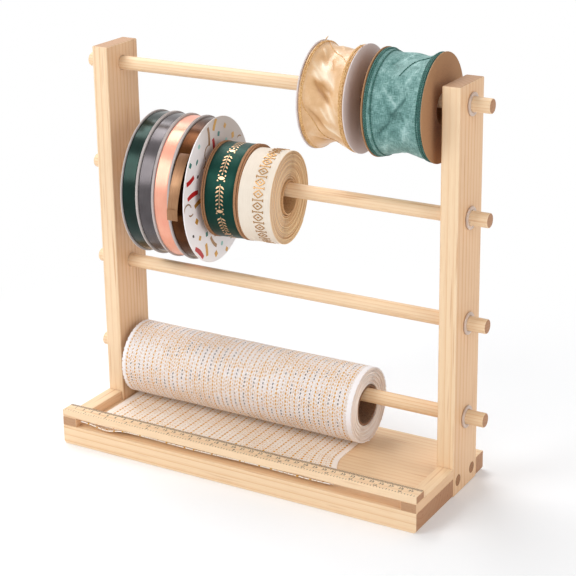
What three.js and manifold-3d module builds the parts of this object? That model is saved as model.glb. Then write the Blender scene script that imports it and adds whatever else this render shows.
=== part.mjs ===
// A pine ribbon holder: a tray base with a measuring bar across its front, two posts, and four loose rods
// that carry reels of ribbon and one long roll of open mesh, whose end lies over the tray.
// Millimetres, +Z up, the front faces -Y. The origin is the middle of the base's underside.

import * as THREE from 'three';
import { mergeVertices } from 'three/addons/utils/BufferGeometryUtils.js';
import Module from 'manifold-3d';

const wasm = await Module();
wasm.setup();

// Base board, side rails and measuring bar
const boardThickness = 20;
const boardEdgeRadius = 3.5;
const boardBehindPost = 17;
const railWidth = 16;
const railHeight = 9.5;
const barDepth = 16;
const barThickness = 7.5;
const barEdge = 0.8;

// Posts
const postWidth = 18;
const postDepth = 52;
const postSetback = 80;
const postAboveRod = 20;
const postEdge = 1.2;
const notchGap = 0.3;

// Screws through the posts into the board, hidden under wooden plugs
const plugDiameter = 11;
const plugLength = 6;
const plugInset = 10.5;
const plugGap = 0.15;
const screwBelowTray = 6;
const screwHeadDiameter = 8.4;
const screwHeadLength = 3;
const screwHeadRim = 0.5;
const screwDiameter = 4.2;
const screwGrip = 26;
const screwTip = 5;
const screwGap = 0.3;

// Rods and their silicone washers
const rodDiameter = 14;
const rodOverhang = 20;
const rodChamfer = 1;
const rodGap = 0.4;
const washerDiameter = 22;
const washerThickness = 1.8;
const washerGap = 0.3;

// Free height left between the loads of neighbouring rods
const meshAboveTray = 3.8;
const roomUnderThirdRod = 60;
const roomUnderSecondRod = 11.3;
const roomUnderTopRod = 37.7;

// What every reel shares: how it hangs on its rod, and the play between its own pieces
const hangGap = 0.3;
const askewHangGap = 0.6;
const windGap = 0.3;
const cardThickness = 1.2;
const coreWall = 1.5;

// Short reels hang a little askew: seen from above, their axes are turned by these degrees from the rod's
const wiredLean = 3;
const reelLean = 6;

// Wide wired ribbons on the top rod, counted from the right post
const wiredBore = 30;
const wiredToPost = 11;
const wiredSpacing = 18.5;
const wiredBelowRim = 1.6;
const wiredEdgeWidth = 4;
const wiredEdgeStep = 0.8;
const wiredFolds = [
  { count: 5, lean: 7, share: 1 },
  { count: 3, lean: -9, share: 0.6 },
];
const tealDiameter = 102;
const tealWidth = 59;
const tealWaist = 3.2;
const tealCrease = 1.1;
const goldDiameter = 102.5;
const goldWidth = 48;
const goldWaist = 5;
const goldCrease = 1.3;
const tealSizes = { diameter: tealDiameter, width: tealWidth, waist: tealWaist, crease: tealCrease };
const goldSizes = { diameter: goldDiameter, width: goldWidth, waist: goldWaist, crease: goldCrease };
const wiredRibbons = [
  { name: 'teal', finish: 'tealSheer', card: 'kraft', ...tealSizes },
  { name: 'gold', finish: 'goldSatin', card: 'greyCard', ...goldSizes },
];

// Narrow reels on the second rod, counted from the left post
const reelToPost = 35;
const reelSpacing = 0.9;
const reelBore = 38;
const reelBelowRim = 1.5;
const satinDiameter = 144;
const satinWidth = 17.8;
const printedOverSatin = 2.5;
const printedCard = { rightCard: 'printedCard', rightDiameter: satinDiameter + printedOverSatin };
const reels = [
  { name: 'green', finish: 'greenSatin', diameter: satinDiameter, width: satinWidth },
  { name: 'grey', finish: 'greySatin', diameter: satinDiameter, width: satinWidth },
  { name: 'peach', finish: 'peachSatin', diameter: satinDiameter, width: satinWidth },
  { name: 'brown', finish: 'brownSatin', diameter: satinDiameter, width: satinWidth, ...printedCard },
];

// Loose end of the brown ribbon; its angles are in degrees from the top towards the front
const tailWidth = 10.5;
const tailThickness = 0.8;
const tailLift = 3.6;
const tailShift = 3.3;
const tailStart = 48;
const tailEnd = 98;
const tailRise = 0.45;
const tailSteps = 12;

// Printed rolls beside the reels
const rollBore = 32;
const rollToReels = 7;
const greenRollDiameter = 94.5;
const greenRollWidth = 30.5;
const sideDiscRim = 0.5;
const leftDiscThickness = 3.7;
const rightDiscThickness = 5.3;
const rollSpacing = 0.8;
const creamRollDiameter = 92.5;
const creamRollWidth = 34.5;
const creamTurns = 8;
const creamEnd = 225;

// Long mesh roll on the lowest rod, and the mesh that has been drawn off it
const meshDiameter = 78;
const meshWidth = 271;
const meshToLeftPost = 8;
const meshToRightPost = 85;
const meshBore = 37;
const meshCoreWall = 2;
const meshCoreRecess = 2;
const meshTurns = 6;
const layerGap = 0.6;
const clothThickness = 1;
const clothShift = 4;
const clothLanding = 25;
const clothLift = 15;
const clothPlay = 0.3;
const hemInset = 0.8;
const hemDip = 3.6;
const hemDipPlace = 31;
const hemDipWidth = 15;
const hemRipple = 0.9;
const hemRippleLength = 132;

// How finely round pieces and cloth are faceted; the counts divide by four so that a quarter turn matches
const rodSides = 16;
const holeSides = 20;
const reelSides = 24;
const windingSteps = 24;
const wiredSides = 28;
const wiredColumns = 10;
const clothRows = 14;
const clothColumns = 22;
const rowEasing = 0.8;
const cutOvershoot = 1;

// Places that follow from the sizes
const roomBetweenPosts = meshToLeftPost + meshWidth + meshToRightPost;
const boardLength = roomBetweenPosts + 2 * postWidth;
const boardDepth = postSetback + postDepth + boardBehindPost;
const endX = boardLength / 2;
const innerX = roomBetweenPosts / 2;
const frontY = -boardDepth / 2;
const postFrontY = frontY + postSetback;
const rodY = postFrontY + postDepth / 2;
const rodRadius = rodDiameter / 2;

// A reel's bore rests on top of its rod, so its axis lies this far below the rod's axis
const hangBelow = (bore, gap) => bore / 2 - rodRadius - gap;
const meshBelowRod = hangBelow(meshBore, hangGap);
const rollBelowRod = hangBelow(rollBore, askewHangGap);
const reelBelowRod = hangBelow(reelBore, askewHangGap);
const wiredBelowRod = hangBelow(wiredBore, askewHangGap);

const meshRodZ = boardThickness + meshAboveTray + meshDiameter / 2 + meshBelowRod;
const thirdRodZ = meshRodZ - meshBelowRod + meshDiameter / 2 + roomUnderThirdRod + rodRadius;
const largestReel = Math.max(...reels.map((reel) => reel.rightDiameter ?? reel.diameter));
const reelReach = largestReel / 2 + reelBelowRod;
const reelRodZ = thirdRodZ + rodRadius + roomUnderSecondRod + reelReach;
const topRodZ = reelRodZ - reelBelowRod + largestReel / 2 + roomUnderTopRod + rodRadius;
const rods = [
  { name: 'top', z: topRodZ },
  { name: 'second', z: reelRodZ },
  { name: 'third', z: thirdRodZ },
  { name: 'lowest', z: meshRodZ },
];
const postHeight = topRodZ + postAboveRod;

// Finishes
const finishes = {
  pine: { color: 0xecd0a4, roughness: 0.6 },
  plugWood: { color: 0xa9734a, roughness: 0.65 },
  steel: { color: 0xb8b8b4, roughness: 0.35, metalness: 1 },
  silicone: { color: 0xdcc8c0, roughness: 0.35 },
  kraft: { color: 0xa67a50, roughness: 0.85 },
  greyCard: { color: 0xc9bcb2, roughness: 0.8 },
  whiteCard: { color: 0xe6e3e2, roughness: 0.6 },
  printedCard: { color: 0xe2dcdd, roughness: 0.5 },
  tealSheer: { color: 0x5f9b93, roughness: 0.6 },
  goldSatin: { color: 0xd9b07a, roughness: 0.4 },
  greenSatin: { color: 0x123f33, roughness: 0.35 },
  greySatin: { color: 0x757073, roughness: 0.35 },
  peachSatin: { color: 0xf3b79b, roughness: 0.35 },
  brownSatin: { color: 0x6a4526, roughness: 0.4 },
  creamSatin: { color: 0xf8efe2, roughness: 0.5 },
  meshCloth: { color: 0xe6d5c8, roughness: 0.7 },
};

function piece(name, geometry, finish) {
  const material = new THREE.MeshStandardMaterial({ metalness: 0, flatShading: true, ...finishes[finish] });
  const mesh = new THREE.Mesh(geometry, material);
  mesh.name = name;
  return mesh;
}

// One closed surface with shared corners, and without the empty triangles that poles and seams leave
function sealed(geometry) {
  const bare = geometry.clone();
  bare.deleteAttribute('normal');
  bare.deleteAttribute('uv');
  const merged = mergeVertices(bare, 1e-4);
  const corners = merged.index.array;
  const kept = [];
  for (let i = 0; i < corners.length; i += 3) {
    const [a, b, c] = [corners[i], corners[i + 1], corners[i + 2]];
    if (a !== b && b !== c && c !== a) kept.push(a, b, c);
  }
  merged.setIndex(kept);
  return merged;
}

function solid(geometry) {
  const closed = sealed(geometry);
  const vertProperties = new Float32Array(closed.getAttribute('position').array);
  const triVerts = new Uint32Array(closed.index.array);
  return new wasm.Manifold(new wasm.Mesh({ numProp: 3, vertProperties, triVerts }));
}

function geometryOf(manifold) {
  const mesh = manifold.getMesh();
  const geometry = new THREE.BufferGeometry();
  geometry.setAttribute('position', new THREE.BufferAttribute(mesh.vertProperties, 3));
  geometry.setIndex(new THREE.BufferAttribute(mesh.triVerts, 1));
  return geometry;
}

function cut(body, tools) {
  let rest = solid(body);
  for (const tool of tools) rest = rest.subtract(solid(tool));
  return geometryOf(rest);
}

const join = (first, second) => geometryOf(solid(first).add(solid(second)));
const meet = (first, second) => geometryOf(solid(first).intersect(solid(second)));

// A block given by its lowest and highest corners
function block([x0, y0, z0], [x1, y1, z1]) {
  const box = new THREE.BoxGeometry(x1 - x0, y1 - y0, z1 - z0);
  return box.translate((x0 + x1) / 2, (y0 + y1) / 2, (z0 + z1) / 2);
}

// A body of revolution round the X axis, from [radius, x] points that run counterclockwise
function turned(profile, sides) {
  const points = profile.map(([radius, x]) => new THREE.Vector2(radius, x));
  return sealed(new THREE.LatheGeometry(points, sides).rotateZ(-Math.PI / 2));
}

function ring(outer, inner, width, sides) {
  return turned([[outer, 0], [outer, width], [inner, width], [inner, 0], [outer, 0]], sides);
}

function cylinder(radius, from, to, sides) {
  return turned([[0, from], [radius, from], [radius, to], [0, to]], sides);
}

// An outline in Y and Z drawn along X, centred on the middle
function alongX(outline, length) {
  const flat = new THREE.ExtrudeGeometry(outline, { depth: length, bevelEnabled: false, curveSegments: 5 });
  const turn = new THREE.Matrix4().makeBasis(
    new THREE.Vector3(0, 1, 0), new THREE.Vector3(0, 0, 1), new THREE.Vector3(1, 0, 0));
  return sealed(flat.applyMatrix4(turn).translate(-length / 2, 0, 0));
}

// An outline in X and Z drawn along Y, centred on the middle
function alongY(outline, length) {
  const flat = new THREE.ExtrudeGeometry(outline, { depth: length, bevelEnabled: false, curveSegments: 5 });
  return sealed(flat.rotateX(Math.PI / 2).translate(0, length / 2, 0));
}

// Where the two screws of a post lie
const screwPlaces = [
  { name: 'front', y: postFrontY + plugInset },
  { name: 'back', y: postFrontY + postDepth - plugInset },
];
const screwZ = boardThickness - screwBelowTray;
const headFace = endX - plugLength - plugGap;
const shankStart = headFace - screwHeadLength;
const screwEnd = innerX - screwGrip;

// The base board: its ends are rounded underneath and its top front edge is eased,
// and a notch at each end takes a post
function baseBoard() {
  const endView = new THREE.Shape();
  endView.moveTo(-endX, boardThickness * 2).lineTo(-endX, boardEdgeRadius);
  endView.absarc(-endX + boardEdgeRadius, boardEdgeRadius, boardEdgeRadius, Math.PI, 1.5 * Math.PI);
  endView.absarc(endX - boardEdgeRadius, boardEdgeRadius, boardEdgeRadius, 1.5 * Math.PI, 2 * Math.PI);
  endView.lineTo(endX, boardThickness * 2).closePath();

  const sideView = new THREE.Shape();
  sideView.moveTo(frontY, -boardThickness).lineTo(-frontY, -boardThickness).lineTo(-frontY, boardThickness);
  sideView.absarc(frontY + barEdge, boardThickness - barEdge, barEdge, Math.PI / 2, Math.PI);
  sideView.closePath();

  const plank = meet(alongY(endView, boardDepth * 2), alongX(sideView, boardLength * 2));
  const notchLow = [innerX - notchGap, postFrontY - notchGap, -boardThickness];
  const notchHigh = [endX * 2, postFrontY + postDepth + notchGap, boardThickness * 2];
  const notch = block(notchLow, notchHigh);
  const tools = [notch, mirrored(notch)];
  for (const { y } of screwPlaces) {
    const pilot = cylinder(screwDiameter / 2 + screwGap, screwEnd - screwGap, endX, rodSides);
    pilot.translate(0, y, screwZ);
    tools.push(pilot, mirrored(pilot));
  }
  return cut(plank, tools);
}

// The same body on the other side of the middle plane, with its faces turned back outwards
function mirrored(geometry) {
  const other = sealed(geometry).scale(-1, 1, 1);
  const corners = other.index.array;
  for (let i = 0; i < corners.length; i += 3) [corners[i], corners[i + 1]] = [corners[i + 1], corners[i]];
  return other;
}

function sideRail() {
  const low = [endX - railWidth, frontY, boardThickness];
  const high = [endX, postFrontY - notchGap, boardThickness + railHeight];
  return block(low, high);
}

// The measuring bar: a flat strip with its upper long edges eased
function measuringBar() {
  const low = boardThickness + railHeight;
  const high = low + barThickness;
  const backY = frontY + barDepth;
  const section = new THREE.Shape();
  section.moveTo(frontY, low).lineTo(backY, low).lineTo(backY, high - barEdge);
  section.lineTo(backY - barEdge, high).lineTo(frontY + barEdge, high).lineTo(frontY, high - barEdge);
  section.closePath();
  return alongX(section, boardLength);
}

// The right post, standing on the ground in its notch, with its rod holes and screw holes
function post() {
  const [halfWidth, halfDepth] = [postWidth / 2 - postEdge, postDepth / 2 - postEdge];
  const section = new THREE.Shape();
  section.absarc(halfWidth, halfDepth, postEdge, 0, Math.PI / 2);
  section.absarc(-halfWidth, halfDepth, postEdge, Math.PI / 2, Math.PI);
  section.absarc(-halfWidth, -halfDepth, postEdge, Math.PI, 1.5 * Math.PI);
  section.absarc(halfWidth, -halfDepth, postEdge, 1.5 * Math.PI, 2 * Math.PI);
  section.closePath();
  const bar = new THREE.ExtrudeGeometry(section, {
    depth: postHeight - postEdge,
    curveSegments: 2,
    bevelSegments: 1,
    bevelThickness: postEdge / 2,
    bevelSize: postEdge / 2,
    bevelOffset: -postEdge / 2,
  });
  bar.translate(innerX + postWidth / 2, rodY, postEdge / 2);

  const [inside, outside] = [innerX - cutOvershoot, endX + cutOvershoot];
  const tools = rods.map(({ z }) => {
    return cylinder(rodRadius + rodGap, inside, outside, holeSides).translate(0, rodY, z);
  });
  for (const { y } of screwPlaces) {
    const counterbore = cylinder(plugDiameter / 2 + plugGap, shankStart, outside, holeSides);
    const shankHole = cylinder(screwDiameter / 2 + screwGap, inside, endX, rodSides);
    tools.push(counterbore.translate(0, y, screwZ), shankHole.translate(0, y, screwZ));
  }
  return cut(bar, tools);
}

function plug(y) {
  return cylinder(plugDiameter / 2, endX - plugLength, endX, rodSides).translate(0, y, screwZ);
}

// A countersunk wood screw, drawn as its core: head, plain shank and point
function screw(y) {
  const radius = screwDiameter / 2;
  const headRadius = screwHeadDiameter / 2;
  const profile = [[0, screwEnd], [radius, screwEnd + screwTip], [radius, shankStart + screwGap]];
  profile.push([headRadius, headFace - screwHeadRim], [headRadius, headFace], [0, headFace]);
  return turned(profile, rodSides).translate(0, y, screwZ);
}

function rod() {
  const reach = endX + rodOverhang;
  const profile = [[0, -reach], [rodRadius - rodChamfer, -reach], [rodRadius, -reach + rodChamfer]];
  profile.push([rodRadius, reach - rodChamfer], [rodRadius - rodChamfer, reach], [0, reach]);
  return turned(profile, rodSides);
}

function washer() {
  return ring(washerDiameter / 2, rodRadius + washerGap, washerThickness, holeSides);
}

// A body wound round the X axis, whose outer radius is a function of the place across it and the angle
function woundBody(width, innerRadius, outerRadius, columns, sides) {
  const rows = [];
  for (let column = 0; column <= columns; column += 1) {
    const across = column / columns;
    rows.push([across * width, (angle) => outerRadius(across, angle)]);
  }
  rows.push([width, () => innerRadius], [0, () => innerRadius]);
  const positions = [];
  for (const [x, radiusAt] of rows) {
    for (let side = 0; side < sides; side += 1) {
      const angle = (side / sides) * 2 * Math.PI;
      positions.push(x, -radiusAt(angle) * Math.sin(angle), radiusAt(angle) * Math.cos(angle));
    }
  }
  const corners = [];
  rows.forEach((_, row) => {
    const nextRow = (row + 1) % rows.length;
    for (let side = 0; side < sides; side += 1) {
      const nextSide = (side + 1) % sides;
      const [a, b] = [row * sides + side, row * sides + nextSide];
      const [c, d] = [nextRow * sides + nextSide, nextRow * sides + side];
      corners.push(a, b, c, a, c, d);
    }
  });
  return meshOf(positions, corners);
}

function meshOf(positions, corners) {
  const geometry = new THREE.BufferGeometry();
  geometry.setAttribute('position', new THREE.Float32BufferAttribute(positions, 3));
  geometry.setIndex(corners);
  return geometry;
}

// Wired ribbon: stiff stitched edges stand proud of a slack middle that is creased slantwise
function wiredWinding({ diameter, width, waist, crease }) {
  const span = width - 2 * (cardThickness + windGap);
  const edgeRadius = diameter / 2 - wiredBelowRim;
  const edgeShare = wiredEdgeWidth / span;
  const outerRadius = (across, angle) => {
    const fromEdge = Math.min(across, 1 - across);
    if (fromEdge < edgeShare) return edgeRadius;
    const slack = Math.sin(((fromEdge - edgeShare) / (0.5 - edgeShare)) * (Math.PI / 2));
    const fold = ({ count, lean, share }) => share * Math.sin(count * angle + lean * across);
    const folds = wiredFolds.reduce((sum, each) => sum + fold(each), 0);
    return edgeRadius - wiredEdgeStep - waist * slack + crease * folds * slack;
  };
  const innerRadius = wiredBore / 2 + coreWall + windGap;
  const winding = woundBody(span, innerRadius, outerRadius, wiredColumns, wiredSides);
  return winding.translate(cardThickness + windGap, 0, 0);
}

// Flat ribbon wound level between two cards
function levelWinding({ diameter, width }) {
  const span = width - 2 * (cardThickness + windGap);
  const winding = ring(diameter / 2 - reelBelowRim, reelBore / 2 + coreWall + windGap, span, reelSides);
  return winding.translate(cardThickness + windGap, 0, 0);
}

// The brown ribbon's loose end: it leaves the winding near the top, rises over the card's rim
// and drifts to the left as it comes down the front
function looseEnd({ diameter, width }) {
  const startRadius = diameter / 2 - reelBelowRim - tailThickness;
  const endRadius = diameter / 2 + tailLift;
  const sections = [];
  for (let step = 0; step <= tailSteps; step += 1) {
    const along = step / tailSteps;
    const angle = THREE.MathUtils.degToRad(tailStart + (tailEnd - tailStart) * along);
    const radius = THREE.MathUtils.lerp(startRadius, endRadius, Math.min(1, along / tailRise));
    const drift = tailShift * THREE.MathUtils.smoothstep(along, tailRise, 1);
    const middle = width / 2 - drift;
    sections.push({ x0: middle - tailWidth / 2, x1: middle + tailWidth / 2, angle, radius });
  }
  return strip(sections, tailThickness);
}

// A flat strip bent round the X axis, from sections that run the way its angle grows
function strip(sections, thickness) {
  const positions = [];
  for (const { x0, x1, angle, radius } of sections) {
    for (const [x, r] of [[x0, radius], [x1, radius], [x1, radius + thickness], [x0, radius + thickness]]) {
      positions.push(x, -r * Math.sin(angle), r * Math.cos(angle));
    }
  }
  const corners = [];
  for (let section = 0; section < sections.length - 1; section += 1) {
    for (let side = 0; side < 4; side += 1) {
      const [a, b] = [section * 4 + side, section * 4 + ((side + 1) % 4)];
      corners.push(a, b + 4, a + 4, a, b, b + 4);
    }
  }
  const last = (sections.length - 1) * 4;
  corners.push(0, 2, 1, 0, 3, 2, last, last + 1, last + 2, last, last + 2, last + 3);
  return meshOf(positions, corners);
}

// A ribbon wound on itself as one unbroken spiral, growing outwards to the angle where it ends
function spiralWinding({ label, innerRadius, outerRadius, width, turns, endAngle, direction }) {
  const pitch = (outerRadius - innerRadius) / (turns + 1);
  const thickness = pitch - layerGap;
  const count = turns * windingSteps;
  const sections = [];
  for (let step = 0; step <= count; step += 1) {
    const angle = endAngle - direction * (1 - step / count) * turns * 2 * Math.PI;
    const radius = innerRadius + layerGap + (pitch * step) / windingSteps;
    sections.push({ x0: 0, x1: width, angle, radius });
  }
  console.log(`${label}: least gap between layers ${leastLayerGap(sections, thickness).toFixed(2)} mm`);
  return direction > 0 ? strip(sections, thickness) : strip(sections.reverse(), thickness);
}

// The least distance from the outside of one layer to the inside of the next, measured on their points
function leastLayerGap(sections, thickness) {
  const place = ({ angle }, r) => new THREE.Vector3(0, -r * Math.sin(angle), r * Math.cos(angle));
  let least = Infinity;
  for (let step = 0; step + windingSteps < sections.length; step += 1) {
    const outside = place(sections[step], sections[step].radius + thickness);
    const near = sections.slice(step + windingSteps - 2, step + windingSteps + 3);
    for (let i = 0; i + 1 < near.length; i += 1) {
      const layer = new THREE.Line3(place(near[i], near[i].radius), place(near[i + 1], near[i + 1].radius));
      const closest = layer.closestPointToPoint(outside, true, new THREE.Vector3());
      least = Math.min(least, closest.distanceTo(outside));
    }
  }
  return least;
}

// The mesh drawn off the roll: it leaves the underside of the roll, lies on the tray
// and rises to the slot under the measuring bar, where its hem dips once near the left end
function laidMesh() {
  const left = -innerX + meshToLeftPost - clothShift;
  const backY = rodY;
  const hemY = frontY + hemInset;
  const floorZ = boardThickness + clothPlay;
  const rollUnderZ = boardThickness + meshAboveTray - clothPlay - clothThickness;
  const highest = boardThickness + railHeight - clothPlay - clothThickness;
  const hemRise = (x) => {
    const fromDip = (x - left - hemDipPlace) / hemDipWidth;
    const ripple = 0.5 + 0.5 * Math.cos(((x - left) / hemRippleLength) * 2 * Math.PI);
    return highest - floorZ - hemDip * Math.exp(-fromDip * fromDip) - hemRipple * ripple;
  };
  const heightAt = (x, y) => {
    const landing = THREE.MathUtils.smoothstep(y, backY - clothLanding, backY);
    const lifting = 1 - THREE.MathUtils.smoothstep(y, hemY, hemY + clothLift);
    return floorZ + (rollUnderZ - floorZ) * landing + hemRise(x) * lifting;
  };
  const positions = [];
  for (let row = 0; row <= clothRows; row += 1) {
    const along = row / clothRows;
    const eased = along - (rowEasing * Math.sin(2 * Math.PI * along)) / (2 * Math.PI);
    const y = hemY + (backY - hemY) * eased;
    for (let column = 0; column <= clothColumns; column += 1) {
      const x = left + (meshWidth * column) / clothColumns;
      const z = heightAt(x, y);
      positions.push(x, y, z, x, y, z + clothThickness);
    }
  }
  return meshOf(positions, slabCorners(clothRows, clothColumns));
}

// Triangles of a thin sheet whose points come in rows, each as its underside and its top
function slabCorners(rows, columns) {
  const under = (row, column) => 2 * (row * (columns + 1) + column);
  const corners = [];
  const quad = (a, b, c, d) => corners.push(a, b, c, a, c, d);
  for (let row = 0; row < rows; row += 1) {
    for (let column = 0; column < columns; column += 1) {
      const [a, b] = [under(row, column), under(row, column + 1)];
      const [c, d] = [under(row + 1, column + 1), under(row + 1, column)];
      quad(a + 1, b + 1, c + 1, d + 1);
      quad(a, d, c, b);
    }
    const [first, next] = [under(row, 0), under(row + 1, 0)];
    const [last, lastNext] = [under(row, columns), under(row + 1, columns)];
    quad(first, first + 1, next + 1, next);
    quad(last, lastNext, lastNext + 1, last + 1);
  }
  for (let column = 0; column < columns; column += 1) {
    const [a, b] = [under(0, column), under(0, column + 1)];
    const [c, d] = [under(rows, column), under(rows, column + 1)];
    quad(a, b, b + 1, a + 1);
    quad(c, c + 1, d + 1, d);
  }
  return corners;
}

// The holder itself
function frame() {
  const group = new THREE.Group();
  group.add(piece('base_board', baseBoard(), 'pine'), piece('ruler_bar', measuringBar(), 'pine'));
  for (const [side, place] of [['right', (geometry) => geometry], ['left', mirrored]]) {
    group.add(piece(`${side}_side_rail`, place(sideRail()), 'pine'));
    group.add(piece(`${side}_post`, place(post()), 'pine'));
    for (const { name, y } of screwPlaces) {
      group.add(piece(`${side}_${name}_plug`, place(plug(y)), 'plugWood'));
      group.add(piece(`${side}_${name}_screw`, place(screw(y)), 'steel'));
    }
  }
  for (const { name, z } of rods) {
    const loose = new THREE.Group();
    loose.position.set(0, rodY, z);
    const stop = piece(`${name}_rod_washer`, washer(), 'silicone');
    stop.position.x = endX + washerGap;
    loose.add(piece(`${name}_rod`, rod(), 'pine'), stop);
    group.add(loose);
  }
  return group;
}

// Hangs a load of this width on the rod at this height, turned about the upright line through its middle
function hang(load, leftX, width, z, lean) {
  const angle = THREE.MathUtils.degToRad(lean);
  load.rotation.z = angle;
  load.position.set(leftX + (width / 2) * (1 - Math.cos(angle)), rodY - (width / 2) * Math.sin(angle), z);
}

// A reel's two cards and its core, in the reel's own group that starts at its left card
function reelBody({ name, card, diameter, width, rightCard = card, rightDiameter = diameter }, bore) {
  const group = new THREE.Group();
  const disc = (across) => ring(across / 2, bore / 2, cardThickness, reelSides);
  const left = piece(`${name}_left_card`, disc(diameter), card);
  const right = piece(`${name}_right_card`, disc(rightDiameter), rightCard);
  const tube = ring(bore / 2 + coreWall, bore / 2, width - 2 * cardThickness, reelSides);
  const core = piece(`${name}_core`, tube, 'kraft');
  core.position.x = cardThickness;
  right.position.x = width - cardThickness;
  group.add(left, right, core);
  return group;
}

function topRodLoad() {
  const group = new THREE.Group();
  let rightX = innerX - wiredToPost;
  for (const ribbon of wiredRibbons) {
    const spool = reelBody(ribbon, wiredBore);
    spool.add(piece(`${ribbon.name}_ribbon`, wiredWinding(ribbon), ribbon.finish));
    hang(spool, rightX - ribbon.width, ribbon.width, topRodZ - wiredBelowRod, wiredLean);
    rightX -= ribbon.width + wiredSpacing;
    group.add(spool);
  }
  return group;
}

function secondRodLoad() {
  const group = new THREE.Group();
  let leftX = -innerX + reelToPost;
  for (const reel of reels) {
    const spool = reelBody({ card: 'whiteCard', ...reel }, reelBore);
    const winding = levelWinding(reel);
    const ribbon = reel.name === 'brown' ? join(winding, looseEnd(reel)) : winding;
    spool.add(piece(`${reel.name}_ribbon`, ribbon, reel.finish));
    hang(spool, leftX, reel.width, reelRodZ - reelBelowRod, reelLean);
    leftX += reel.width + reelSpacing;
    group.add(spool);
  }
  leftX += rollToReels - reelSpacing;
  const rollZ = reelRodZ - rollBelowRod;
  const coreRadius = rollBore / 2 + coreWall;

  const greenRoll = new THREE.Group();
  const bandX = leftDiscThickness + windGap;
  const rightDiscX = bandX + greenRollWidth + windGap;
  const greenWidth = rightDiscX + rightDiscThickness;
  const greenCore = ring(coreRadius, rollBore / 2, greenRollWidth, reelSides);
  const greenBand = ring(greenRollDiameter / 2, coreRadius + windGap, greenRollWidth, reelSides);
  const discRadius = greenRollDiameter / 2 + sideDiscRim;
  const sideDisc = (thickness) => ring(discRadius, rollBore / 2, thickness, reelSides);
  greenRoll.add(
    piece('green_foil_left_disc', sideDisc(leftDiscThickness), 'kraft'),
    piece('green_foil_core', greenCore.translate(bandX, 0, 0), 'kraft'),
    piece('green_foil_ribbon', greenBand.translate(bandX, 0, 0), 'greenSatin'),
    piece('green_foil_right_disc', sideDisc(rightDiscThickness).translate(rightDiscX, 0, 0), 'kraft'),
  );
  hang(greenRoll, leftX, greenWidth, rollZ, reelLean);
  leftX += greenWidth + rollSpacing;

  const creamRoll = new THREE.Group();
  hang(creamRoll, leftX, creamRollWidth, rollZ, reelLean);
  const creamWinding = spiralWinding({
    label: 'cream ribbon',
    innerRadius: coreRadius,
    outerRadius: creamRollDiameter / 2,
    width: creamRollWidth,
    turns: creamTurns,
    endAngle: THREE.MathUtils.degToRad(creamEnd),
    direction: 1,
  });
  creamRoll.add(
    piece('cream_foil_core', ring(coreRadius, rollBore / 2, creamRollWidth, reelSides), 'kraft'),
    piece('cream_foil_ribbon', creamWinding, 'creamSatin'),
  );
  group.add(greenRoll, creamRoll);
  return group;
}

function lowestRodLoad() {
  const group = new THREE.Group();
  group.position.set(-innerX + meshToLeftPost, rodY, meshRodZ - meshBelowRod);
  const coreRadius = meshBore / 2 + meshCoreWall;
  const core = ring(coreRadius, meshBore / 2, meshWidth - 2 * meshCoreRecess, reelSides);
  // The last turn ends underneath, where the mesh leaves the roll
  const winding = spiralWinding({
    label: 'mesh',
    innerRadius: coreRadius,
    outerRadius: meshDiameter / 2,
    width: meshWidth,
    turns: meshTurns,
    endAngle: Math.PI,
    direction: -1,
  });
  core.translate(meshCoreRecess, 0, 0);
  group.add(piece('mesh_core', core, 'kraft'), piece('mesh_winding', winding, 'meshCloth'));
  return group;
}

const group = new THREE.Group();
group.add(frame(), topRodLoad(), secondRodLoad(), lowestRodLoad());
group.add(piece('laid_mesh', laidMesh(), 'meshCloth'));

export default group;
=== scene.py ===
import math

import bmesh
import bpy
import numpy as np
from mathutils import Matrix, Vector


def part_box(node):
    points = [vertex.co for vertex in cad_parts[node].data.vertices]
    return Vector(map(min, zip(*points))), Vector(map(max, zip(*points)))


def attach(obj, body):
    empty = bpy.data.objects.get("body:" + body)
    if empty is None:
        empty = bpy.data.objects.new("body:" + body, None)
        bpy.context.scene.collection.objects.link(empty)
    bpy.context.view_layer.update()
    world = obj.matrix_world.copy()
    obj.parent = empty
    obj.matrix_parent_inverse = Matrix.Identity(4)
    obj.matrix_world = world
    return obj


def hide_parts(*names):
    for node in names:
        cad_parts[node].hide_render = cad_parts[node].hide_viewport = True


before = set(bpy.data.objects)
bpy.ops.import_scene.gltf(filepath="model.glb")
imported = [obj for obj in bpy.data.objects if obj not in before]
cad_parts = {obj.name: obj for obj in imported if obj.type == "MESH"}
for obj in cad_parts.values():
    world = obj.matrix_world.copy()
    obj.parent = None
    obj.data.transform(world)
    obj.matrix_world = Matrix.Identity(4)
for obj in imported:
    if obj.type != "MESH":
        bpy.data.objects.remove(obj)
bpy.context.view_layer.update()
mm = 0.001
fullTurn = 2 * math.pi
sharpAngle = 35  # degrees at which two faces stop meeting smoothly

# Camera, floor and light

cameraPlace = {
    "position": (0.7757, -1.2738, 0.7315),
    "heading": -30.47,  # degrees from +Y, positive towards +X
    "down": 17.72,
    "roll": -0.87,
    "lens": 102.23,
    "shift": -0.13,
}

studio = {
    # places and sizes in metres, power in watts
    "world": 0.44,  # how strongly the surroundings light the object
    "key": {"place": (-1.0, -1.35, 1.15), "aim": (0, 0, 0.22), "size": (1.1, 1.2), "power": 17.4},
    "top": {"place": (-0.75, 0.45, 1.55), "aim": (0, 0, 0.25), "size": (1.1, 0.8), "power": 16},
    "fill": {"place": (1.6, -0.6, 0.8), "aim": (0, 0, 0.22), "size": (1.2, 1.2), "power": 9.5},
    "floorColour": "#FCFDFF",
    "floorGlow": 0.1,  # share of the floor that shows as plain white beside the object
    "glowStarts": 0.2,  # distances from the middle between which that share grows to 1
    "glowFull": 0.6,
}


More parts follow.
